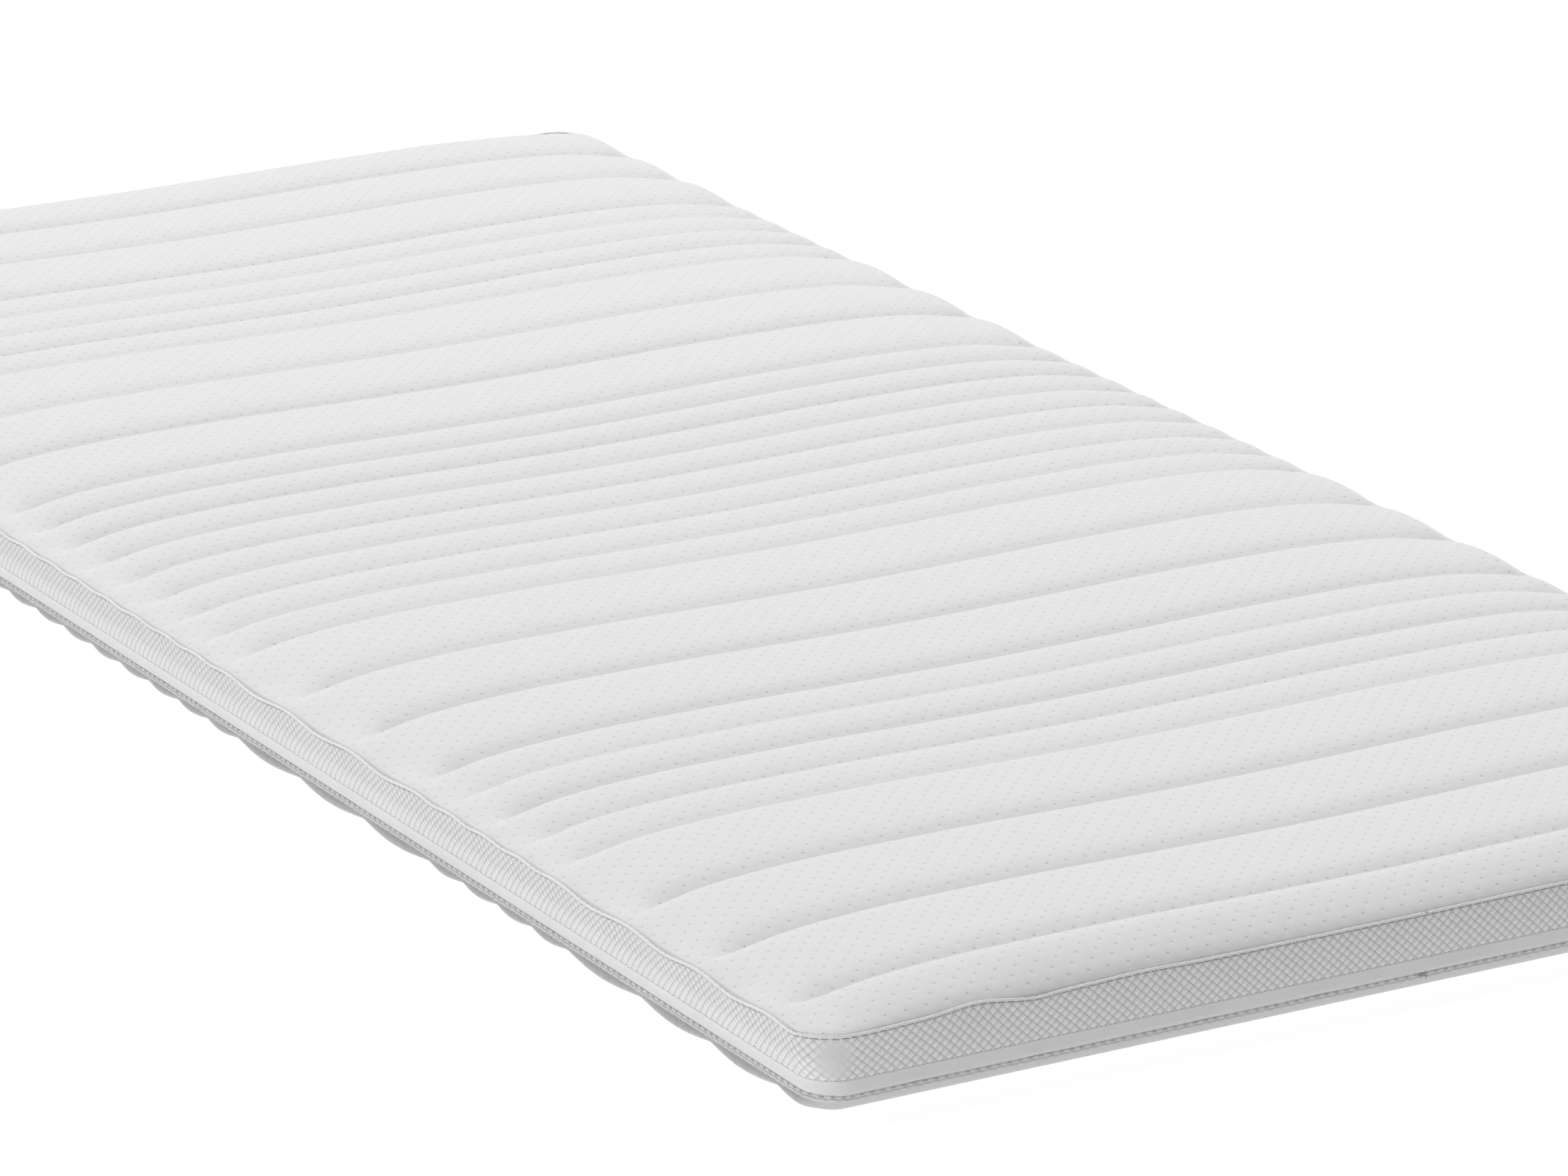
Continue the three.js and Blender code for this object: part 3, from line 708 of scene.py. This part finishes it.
def block(name, top, bottom, inset, material, body, node, side_bulge=0.0012):
    """A closed padded form between two heights, each a function of (x, y, distance from the long sides,
    distance from the short sides)."""
    xs = BLOCK_X * (HALF_X - inset) / HALF_X
    end = HALF_Y - inset
    ys = np.concatenate([[-end], BLOCK_Y[np.abs(BLOCK_Y) < end - SHORTEST_STEP], [end]])
    x, y, ix, iy = panel_plan(xs, ys)
    y = bent(y, ix)
    upper = top(x, y, ix, iy)
    lower = np.minimum(bottom(x, y, ix, iy), upper - THINNEST)
    rim = rim_of(*x.shape)
    up, down = (np.stack([x, y, z], -1).reshape(-1, 3) for z in (upper, lower))
    vertices, rings = [up, down], [rim]
    for k in range(1, SIDE_ROWS + 1):
        t = k / (SIDE_ROWS + 1)
        ring = up[rim] * (1 - t) + down[rim] * t
        plan = ring * [1, 1, 0]
        outward = plan / np.linalg.norm(plan, axis=1)[:, None]
        rings.append(len(up) * 2 + len(rim) * (k - 1) + np.arange(len(rim)))
        vertices.append(ring + outward * side_bulge * math.sin(math.pi * t))
    rings.append(rim + len(up))
    faces = grid_faces(*x.shape) + [[i + len(up) for i in face[::-1]] for face in grid_faces(*x.shape)]
    for a, b in zip(rings[:-1], rings[1:]):
        faces += np.stack([np.roll(a, -1), a, b, np.roll(b, -1)], -1).tolist()
    obj = new_object(name, np.concatenate(vertices), faces)
    finish_piece(obj, body, material, [node])


def rim_of(rows, columns):
    """The grid's rim as indices, all the way round."""
    index = np.arange(rows * columns).reshape(rows, columns)
    return np.concatenate([index[:, 0], index[-1, 1:], index[-2::-1, -1], index[0, -2:0:-1]])


def above(surface, height):
    """The surface that lies a height above another."""
    return lambda *place: surface(*place) + height


def pulled_up(y, ix):
    """1 on a quilting line, and 0 midway between two."""
    return np.abs(2 * channel(straightened(y, ix))[0] - 1) ** 5


def under_face(x, y, ix, iy):
    """How high the layers under the top panel's face may reach."""
    face = TOP_SEAM_Z + FACE_LIFT + seam_shift(x, y)[0] + crown_height(ix, iy)
    return face - groove(x, straightened(y, ix), ix) - UNDER_FACE


def core_top(x, y, ix, iy):
    return np.minimum(smooth_table(CORE_TOP, np.minimum(ix, iy)), under_face(x, y, ix, iy) - UNDER_WADDING)


def core_bottom(x, y, ix, iy):
    height, reach = CORE_EDGE
    inset = np.minimum(ix, iy) - CORE_INSET
    return CORE_BASE_Z + BETWEEN_LAYERS + height * np.exp(-inset / reach)


def top_backing(x, y, ix, iy):
    lifted = BACKING_LIFT * pulled_up(y, ix) * smooth(0.02, 0.08, np.minimum(ix, iy))
    return np.minimum(core_top(x, y, ix, iy) + ON_CORE + lifted, under_face(x, y, ix, iy) - LEAST_WADDING)


def bottom_wadding(x, y, ix, iy):
    return under_height(straightened(y, ix), ix, iy) + BOTTOM_CLOTH


def bottom_backing(x, y, ix, iy):
    return BOTTOM_BACKING_Z + BACKING_SAG * (1 - pulled_up(y, ix))


# ---- Zip ----
ZIP_START_X = -0.4062  # at the head, where the zip's chain starts; it goes all round
ZIP_END_X = -0.3920
TAPE_OUT = (-0.0016, -0.0008)
TEETH_OUT = (-0.0022, -0.0003)
TOOTH_PITCH = 0.0025
TOOTH_LENGTH = 0.0016


def zip_run(margin, step):
    """Distances along the zip, from its start to its end."""
    start, end = HEAD_MIDDLE - ZIP_START_X + margin, HEAD_MIDDLE - ZIP_END_X + AROUND - margin
    return steps(start, end, step)


def zip_tape(half, low, high, material):
    """A flat woven tape on its edge: a thin closed strip along the zip."""
    run = zip_run(0.0004, 0.008)
    inner, outer = TAPE_OUT
    heights = (low, (low + high) / 2, high)
    section = np.array([(outer, z) for z in heights] + [(inner, z) for z in heights[::-1]])
    out, z = all_along(section, run)
    obj = along_border(f"woven_tape_{half}", run, out, z, closed_section=True, capped=True)
    return finish_piece(obj, f"{half}_cover", material, [f"{half}_zip_tape"])


def zip_teeth(half, root, tip, shift, material):
    """The zip's teeth, each with a head wider than its root, in one mesh."""
    run = zip_run(0.002, TOOTH_PITCH) + shift
    inner, outer = TEETH_OUT
    levels = [(root, 0.6), (root + 0.55 * (tip - root), 0.75), (root + 0.8 * (tip - root), 1.0), (tip, 0.55)]
    rings = []
    for z, width in levels:
        reach = TOOTH_LENGTH / 2 * width
        for along, out in ((-reach, inner), (reach, inner), (reach, outer), (-reach, outer)):
            x, y, nx, ny = around(run + along)
            rings.append(np.stack([x + nx * out, y + ny * out, np.full(x.shape, z)], -1))
    points = np.stack(rings, 1)
    obj = new_object(f"teeth_{half}", points, tube_faces(len(run), len(levels), 4), smooth_faces=False)
    return finish_piece(obj, f"{half}_cover", material, [f"{half}_zip_coil"])


# ---- Care label ----
LABEL_Y = 0.760
LABEL_SIZE = (0.034, 0.0204)
LABEL_TOP_Z = 0.0522


def care_label(material):
    """A blank woven label, sewn in under the top seam. Its lower edge stands a little away from the mesh."""
    width, length = LABEL_SIZE
    y, down = np.meshgrid(np.linspace(-width / 2, width / 2, 25), np.linspace(0, length, 15), indexing="ij")
    away = 0.0017 + 0.0030 * (down / length) ** 2 + 0.0006 * np.sin(y * 170 + down * 90) * down / length
    points = np.stack([HALF_X + away, LABEL_Y + y, LABEL_TOP_Z - down + 0.0002], -1)
    obj = new_object("blank_care_label", points, [face[::-1] for face in grid_faces(*y.shape)])
    set_uv(obj, np.stack([y, down], -1))
    thicken = obj.modifiers.new("Solidify", "SOLIDIFY")
    thicken.thickness = 0.0003
    thicken.offset = 0
    apply_modifiers(obj)
    finish_piece(obj, "upper_cover", material, ["care_label"])
    return obj


# ---- Materials ----


class Look:
    """A material with a principled shader, and short calls that add nodes to it. Heights are in metres."""

    def __init__(self, name, colour, roughness, settings=None):
        self.material = bpy.data.materials.new(name)
        self.material.use_nodes = True
        self.nodes = self.material.node_tree.nodes
        self.links = self.material.node_tree.links
        self.shader = self.nodes["Principled BSDF"]
        self.colour = (*colour, 1)
        self.height = None
        self.shader.inputs["Base Color"].default_value = self.colour
        self.shader.inputs["Roughness"].default_value = roughness
        for socket, value in (settings or {}).items():
            self.shader.inputs[socket].default_value = value

    def put(self, value, socket):
        if isinstance(value, bpy.types.NodeSocket):
            self.links.new(value, socket)
        else:
            socket.default_value = value

    def math(self, operation, *values):
        node = self.nodes.new("ShaderNodeMath")
        node.operation = operation
        for value, socket in zip(values, node.inputs):
            self.put(value, socket)
        return node.outputs[0]

    def times(self, a, b):
        return self.math("MULTIPLY", a, b)

    def plus(self, a, b):
        return self.math("ADD", a, b)

    def minus(self, a, b):
        return self.math("SUBTRACT", a, b)

    def past(self, place, limit):
        """How far a coordinate, without its sign, is past a limit."""
        return self.minus(self.math("ABSOLUTE", place), limit)

    def coordinates(self, kind="Object"):
        node = self.nodes.new("ShaderNodeSeparateXYZ")
        self.links.new(self.nodes.new("ShaderNodeTexCoord").outputs[kind], node.inputs[0])
        return node.outputs

    def texture(self, kind, **values):
        node = self.nodes.new(kind)
        self.links.new(self.nodes.new("ShaderNodeTexCoord").outputs["Object"], node.inputs["Vector"])
        for socket, value in values.items():
            node.inputs[socket].default_value = value
        return node.outputs

    def noise(self, scale, detail=3.0):
        """Noise from 0 to 1 whose features are about 1/scale metres across."""
        return self.texture("ShaderNodeTexNoise", Scale=scale, Detail=detail)["Fac"]

    def cells(self, scale):
        """Distance to the nearest of scattered points, in cells about 1/scale metres across."""
        return self.texture("ShaderNodeTexVoronoi", Scale=scale)["Distance"]

    def wave(self, place, pitch):
        """A smooth wave from -1 to 1 along a coordinate."""
        return self.math("SINE", self.times(place, 2 * math.pi / pitch))

    def soft_step(self, low, high, value):
        node = self.nodes.new("ShaderNodeMapRange")
        node.interpolation_type = "SMOOTHSTEP"
        for socket, number in (("From Min", low), ("From Max", high)):
            node.inputs[socket].default_value = number
        self.links.new(value, node.inputs["Value"])
        return node.outputs["Result"]

    def lattice(self, u, v, pitch_u, pitch_v):
        """Two slanted coordinates that are both whole numbers at each point of a staggered lattice."""
        a = self.times(u, 1 / pitch_u)
        b = self.times(v, 1 / pitch_v)
        return self.plus(a, b), self.minus(a, b)

    def off_whole(self, value):
        """How far a number is from the nearest whole one, with its sign."""
        return self.minus(value, self.math("ROUND", value))

    def dots(self, u, v, pitch_u, pitch_v, radius):
        """1 at each point of a staggered lattice, falling to 0 at a radius round it."""
        a, b = (self.off_whole(value) for value in self.lattice(u, v, pitch_u, pitch_v))
        du = self.times(self.plus(a, b), pitch_u / 2)
        dv = self.times(self.minus(a, b), pitch_v / 2)
        away = self.math("SQRT", self.plus(self.times(du, du), self.times(dv, dv)))
        return self.soft_step(radius, 0.0, away)

    def cushions(self, u, v, pitch_u, pitch_v, power):
        """1 on the pads of a staggered lattice, falling to 0 in the grooves between them."""
        places = self.lattice(u, v, pitch_u, pitch_v)
        edges = [self.times(self.math("ABSOLUTE", self.off_whole(place)), 2) for place in places]
        a, b = (self.minus(1, self.math("POWER", edge, power)) for edge in edges)
        return self.times(a, b)

    def shade(self, factor, colour, share=None):
        """Tints towards a colour, or a share of the way there, where factor is 1."""
        factor = factor if share is None else self.times(factor, share)
        node = self.nodes.new("ShaderNodeMix")
        node.data_type = "RGBA"
        self.links.new(factor, node.inputs["Factor"])
        self.put(self.colour, node.inputs["A"])
        node.inputs["B"].default_value = (*colour, 1)
        self.colour = node.outputs["Result"]

    def raise_by(self, factor, height):
        lifted = self.times(factor, height)
        self.height = lifted if self.height is None else self.plus(self.height, lifted)

    def rough(self, factor, low, high):
        node = self.nodes.new("ShaderNodeMapRange")
        node.inputs["To Min"].default_value = low
        node.inputs["To Max"].default_value = high
        self.links.new(factor, node.inputs["Value"])
        self.links.new(node.outputs["Result"], self.shader.inputs["Roughness"])

    def done(self):
        if self.height is not None:
            bump = self.nodes.new("ShaderNodeBump")
            bump.inputs["Strength"].default_value = 1.0
            bump.inputs["Distance"].default_value = 1.0
            self.links.new(self.height, bump.inputs["Height"])
            self.links.new(bump.outputs["Normal"], self.shader.inputs["Normal"])
        if isinstance(self.colour, bpy.types.NodeSocket):
            self.links.new(self.colour, self.shader.inputs["Base Color"])
        return self.material


WHITE = (0.782, 0.784, 0.783)
SHEEN = {"Sheen Weight": 0.25, "Sheen Roughness": 0.4, "Specular IOR Level": 0.25}
DIMPLE_PITCH = (0.0145, 0.0150)
SEAM_SHADE_LINE = (0.0012, 0.0006)  # the painted seam shade starts this far in from the border, and is full this far out


def painted_seam_shade(look, x, y):
    """1 where painted shade darkens the top panel's rim as it goes into the seam, and 0 further in."""
    past = [look.past(x, STRAIGHT_X), look.past(y, STRAIGHT_Y)]
    qx, qy = (look.math("MAXIMUM", place, 0.0) for place in past)
    reach = look.math("SQRT", look.plus(look.times(qx, qx), look.times(qy, qy)))
    return look.soft_step(CORNER - SEAM_SHADE_LINE[0], CORNER + SEAM_SHADE_LINE[1], reach)


def knit_look(name, colour, seam_shaded=False):
    """Soft double jersey, tucked into small pits on a staggered lattice, with painted shade in the pits and,
    if asked, along the rim at the seam.
    """
    look = Look(name, colour, 0.85, SHEEN)
    x, y, _ = look.coordinates()
    if seam_shaded:
        # painted shade along the rim where the top panel goes into the seam
        look.shade(painted_seam_shade(look, x, y), (0.42, 0.43, 0.43), 0.5)
    pits = look.dots(x, y, *DIMPLE_PITCH, 0.0015)
    hollows = look.dots(x, y, *DIMPLE_PITCH, 0.0050)
    blotches = look.noise(60, 4)
    loops = look.times(look.wave(x, 0.0016), look.wave(y, 0.0012))
    # painted shade in the pits, where the cloth is tucked in
    look.shade(pits, (0.42, 0.43, 0.44), 0.30)
    look.shade(look.soft_step(0.45, 0.75, blotches), (0.66, 0.68, 0.70), 0.10)
    look.raise_by(pits, -0.00035)
    look.raise_by(hollows, -0.00012)
    look.raise_by(loops, 0.00002)
    look.raise_by(look.noise(420, 2), 0.00010)
    look.raise_by(blotches, 0.0004)
    look.rough(look.noise(200), 0.78, 0.92)
    return look.done()


def mesh_look():
    """Spacer mesh: its pads are white, and the ground between them is open, with painted shade in it and in
    its holes.
    """
    look = Look("spacer_mesh", (0.79, 0.792, 0.791), 0.8, SHEEN)
    run, rise, _ = look.coordinates("UV")
    pads_here = look.cushions(run, rise, PAD_PITCH, PAD_RISE, 6)
    holes = look.dots(run, rise, PAD_PITCH / 3, PAD_RISE / 3, 0.0009)
    off = []
    for place, (centre, half) in zip(look.coordinates(), STRETCHED):
        part = look.times(look.past(place, centre), 1 / half)
        off.append(look.times(part, part))
    loose = look.soft_step(0.0, 1.9, look.plus(look.plus(off[0], off[1]), off[2]))
    # painted shade in the grooves between the pads; where the mesh is stretched smooth it is spread evenly
    ground_shade = look.times(look.minus(1.0, pads_here), loose)
    ground_shade = look.plus(ground_shade, look.times(look.minus(1.0, loose), 0.34))
    # painted shade in the grooves, and deeper painted shade in the holes
    look.shade(ground_shade, (0.42, 0.43, 0.43), 0.85)
    look.shade(look.times(holes, ground_shade), (0.30, 0.31, 0.32), 0.30)
    look.raise_by(holes, -0.00008)
    look.raise_by(look.noise(700, 2), 0.00006)
    look.rough(ground_shade, 0.7, 0.9)
    return look.done()


def satin_look(name, colour):
    """Smooth woven band, with a fine rib along it."""
    look = Look(name, colour, 0.5, {"Sheen Weight": 0.15, "Specular IOR Level": 0.4})
    run, rise, _ = look.coordinates("UV")
    rib = look.wave(rise, 0.0011)
    threads = look.wave(run, 0.0009)
    look.shade(look.soft_step(0.4, 0.8, look.noise(90, 3)), (0.62, 0.64, 0.65), 0.12)
    look.raise_by(rib, 0.00002)
    look.raise_by(threads, 0.00001)
    look.rough(look.noise(300), 0.42, 0.6)
    return look.done()


def cord_look(name, colour):
    """Twisted cord, with painted shade in the grooves of its twist."""
    look = Look(name, colour, 0.6, SHEEN)
    run, turn, _ = look.coordinates("UV")
    twist = look.wave(look.plus(run, turn), 0.0023)
    # painted shade where the twist dips
    look.shade(look.soft_step(0.2, -1.0, twist), (0.55, 0.56, 0.58), 0.25)
    look.raise_by(twist, 0.00008)
    look.rough(look.noise(500), 0.5, 0.7)
    return look.done()


def thread_look(name, colour):
    look = Look(name, colour, 0.6, SHEEN)
    look.shade(look.soft_step(0.4, 0.7, look.noise(900, 2)), (0.48, 0.49, 0.50))
    look.raise_by(look.noise(2500, 1), 0.00003)
    return look.done()


def wadding_look():
    """Fluffy white fibre, with painted shade in the hollows between its fibres."""
    look = Look("polyester_wadding", (0.83, 0.84, 0.85), 0.95, SHEEN)
    fibres = look.noise(350, 8)
    # painted shade where the fibres dip
    look.shade(look.soft_step(0.55, 0.35, fibres), (0.66, 0.68, 0.70))
    look.raise_by(fibres, 0.0006)
    look.raise_by(look.noise(60, 3), 0.0015)
    return look.done()


def nonwoven_look():
    """Thin spun fabric, pressed with a lattice of small bond points."""
    look = Look("nonwoven_backing", (0.78, 0.79, 0.80), 0.75, {"Specular IOR Level": 0.3})
    x, y, _ = look.coordinates()
    bonds = look.dots(x, y, 0.0030, 0.0030, 0.0007)
    fibres = look.noise(900, 6)
    look.shade(bonds, (0.56, 0.57, 0.58), 0.5)
    look.shade(look.soft_step(0.5, 0.7, fibres), (0.68, 0.69, 0.70), 0.3)
    look.raise_by(bonds, -0.0001)
    look.raise_by(fibres, 0.00012)
    return look.done()


def foam_look():
    """Cream viscoelastic foam: open cells of two sizes with painted shade inside them, a little uneven in
    colour.
    """
    look = Look("memory_foam", (0.80, 0.76, 0.64), 0.9, {"Specular IOR Level": 0.2, "Sheen Weight": 0.1})
    pores = look.soft_step(0.42, 0.10, look.cells(420))
    large = look.soft_step(0.16, 0.05, look.cells(95))
    look.shade(look.noise(12, 3), (0.80, 0.72, 0.54), 0.5)
    # painted shade inside the open cells, small and large
    look.shade(pores, (0.60, 0.54, 0.40), 0.35)
    look.shade(large, (0.48, 0.42, 0.30), 0.5)
    look.raise_by(pores, -0.0003)
    look.raise_by(large, -0.0008)
    look.raise_by(look.noise(40, 3), 0.0008)
    return look.done()


def tape_look():
    """Herringbone zip tape."""
    look = Look("zip_tape", (0.72, 0.73, 0.74), 0.75, SHEEN)
    x, y, z = look.coordinates()
    along = look.plus(x, y)
    rising, falling = look.plus(along, z), look.minus(along, z)
    twill = look.times(look.wave(rising, 0.0012), look.wave(falling, 0.0012))
    look.shade(look.soft_step(-0.2, 0.8, twill), (0.60, 0.61, 0.62))
    look.raise_by(twill, 0.00005)
    look.rough(look.noise(400), 0.65, 0.85)
    return look.done()


def nylon_look():
    look = Look("zip_nylon", (0.76, 0.77, 0.78), 0.35, {"Specular IOR Level": 0.5})
    look.shade(look.soft_step(0.4, 0.7, look.noise(250, 2)), (0.66, 0.67, 0.68))
    look.raise_by(look.noise(1500, 1), 0.00002)
    look.rough(look.noise(500), 0.28, 0.45)
    return look.done()


def zinc_look():
    """Zinc die casting with a bright nickel coat, worn a little dull."""
    look = Look("coated_zinc", (0.74, 0.74, 0.73), 0.25, {"Metallic": 1.0})
    wear = look.noise(180, 5)
    look.shade(look.soft_step(0.5, 0.75, wear), (0.52, 0.51, 0.50), 0.5)
    look.raise_by(look.noise(900, 3), 0.00001)
    look.rough(wear, 0.16, 0.42)
    return look.done()


def floor_look():
    """A white studio floor that glows, the more so on the left, so that shadows on it stay pale."""
    look = Look("pale_floor", (0.16, 0.16, 0.16), 0.9, {"Specular IOR Level": 0.0})
    look.shader.inputs["Emission Color"].default_value = (1, 1, 1, 1)
    x, _, _ = look.coordinates()
    glow = look.plus(look.times(look.soft_step(-0.40, -0.60, x), 0.85), 0.93)
    look.put(glow, look.shader.inputs["Emission Strength"])
    look.shade(look.noise(3, 3), (0.13, 0.13, 0.13), 0.02)
    return look.done()


# ---- Camera, floor and light ----


def camera():
    data = bpy.data.cameras.new("camera")
    data.lens, data.sensor_width, data.sensor_fit = 187.482, 36.0, "HORIZONTAL"
    data.clip_end = 100
    obj = bpy.data.objects.new("camera", data)
    right = Vector((0.87094840, -0.49132162, -0.00720798))
    up = Vector((0.15741160, 0.26508197, 0.95129025))
    back = Vector((-0.46547876, -0.82965934, 0.30821244))
    place = Vector((-2.72199, -5.02161, 1.84182))
    obj.matrix_world = Matrix.Translation(place) @ Matrix((right, up, back)).transposed().to_4x4()
    bpy.context.scene.collection.objects.link(obj)
    bpy.context.scene.camera = obj


def studio():
    size = 20
    corners = [(-size, -size, 0), (size, -size, 0), (size, size, 0), (-size, size, 0)]
    floor = new_object("floor", corners, [[0, 1, 2, 3]])
    floor.data.materials.append(floor_look())
    world = bpy.data.worlds.new("studio")
    bpy.context.scene.world = world
    world.use_nodes = True
    background = world.node_tree.nodes["Background"]
    background.inputs["Color"].default_value = (1, 1, 1, 1)
    background.inputs["Strength"].default_value = 0.27
    key = bpy.data.lights.new("key", "AREA")
    key.shape, key.size, key.size_y = "RECTANGLE", 8.0, 8.0
    key.energy = 3470
    lamp = bpy.data.objects.new("key", key)
    lamp.location = (3.0, 9.3, 16.4)
    lamp.rotation_euler = (-lamp.location).to_track_quat("-Z", "Y").to_euler()
    lamp.visible_camera = False
    bpy.context.scene.collection.objects.link(lamp)
    bpy.context.scene.view_settings.view_transform = "Standard"


METAL_PARTS = (
    "zip_start_box", "zip_start_pin", "lower_end_stop", "upper_end_stop", "zip_slider_body", "puller_pin",
    "zip_pull_tab",
)


def metal_part(name, material):
    """Keeps a part of the frame as it is, with its edges rounded off."""
    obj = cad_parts[name]
    obj.data.materials.clear()
    obj.data.materials.append(material)
    bevel = obj.modifiers.new("Bevel", "BEVEL")
    bevel.width = 0.00025
    bevel.segments = 2
    bevel.limit_method = "ANGLE"


# ---- Everything ----
camera()
studio()

knit = knit_look("knit_jersey", WHITE, seam_shaded=True)
# the bottom panel's jersey, painted darker than the top's for the shade it lies in, facing down
knit_in_painted_shade = knit_look("jersey_in_painted_shade", (0.55, 0.555, 0.555))
wadding, nonwoven = wadding_look(), nonwoven_look()
top_cord, bottom_cord = (cord_look(name, (0.90, 0.905, 0.905)) for name in ("top_cord", "bottom_cord"))
# real stitches, made darker than the other thread as painted shade of the seam's shadow under the top cord
top_thread_painted_shade = thread_look("top_thread_painted_shade", (0.50, 0.51, 0.51))
thread = thread_look("sewing_thread", (0.68, 0.69, 0.69))
nylon, tape, zinc = nylon_look(), tape_look(), zinc_look()
spacer_mesh = mesh_look()
flap_satin, label_satin = satin_look("flap_satin", WHITE), satin_look("label_satin", WHITE)

top = finish_piece(top_quilt(), "upper_cover", knit, ["top_face_fabric"])
under = finish_piece(bottom_quilt(), "lower_cover", knit_in_painted_shade, ["bottom_face_fabric"])

top_wadding = above(top_backing, BACKING + BETWEEN_LAYERS)
block("top_quilt_wadding", under_face, top_wadding, 0.014, wadding, "upper_cover",
      "top_wadding")
block("top_quilt_backing", above(top_backing, BACKING), top_backing, 0.012, nonwoven, "upper_cover",
      "top_backing", side_bulge=0)
block("bottom_quilt_wadding", above(bottom_backing, -BETWEEN_LAYERS), bottom_wadding, 0.006, wadding,
      "lower_cover", "bottom_wadding")
block("bottom_quilt_backing", above(bottom_backing, BACKING), bottom_backing, 0.005, nonwoven, "lower_cover",
      "bottom_backing", side_bulge=0)
block("foam_core", core_top, core_bottom, CORE_INSET, foam_look(), "core",
      "memory_foam_core")

for side in SIDES:
    mesh_border(side, spacer_mesh)
    zip_flap(side, flap_satin)
seam_cord("top", radius=0.0010, bead=0.10, pitch=0.0070, material=top_cord)
seam_cord("bottom", radius=0.0012, bead=0.16, pitch=0.0075, material=bottom_cord)
seam_binding(bottom_cord)
seam_stitches("bottom", pitch=0.0075, length=0.0036, radius=0.0005, out=0.0017, up=0.0020, material=thread)
seam_stitches("top", pitch=0.0065, length=0.0050, radius=0.0006, out=0.0006, up=-0.0021, material=top_thread_painted_shade)
zip_tape("lower", 0.0133, 0.0177, tape)
zip_tape("upper", 0.0243, 0.0277, tape)
zip_teeth("lower", root=0.0180, tip=0.0204, shift=0.0, material=nylon)
zip_teeth("upper", root=0.0240, tip=0.0216, shift=TOOTH_PITCH / 2, material=nylon)
care_label(label_satin)
for name in METAL_PARTS:
    metal_part(name, zinc)
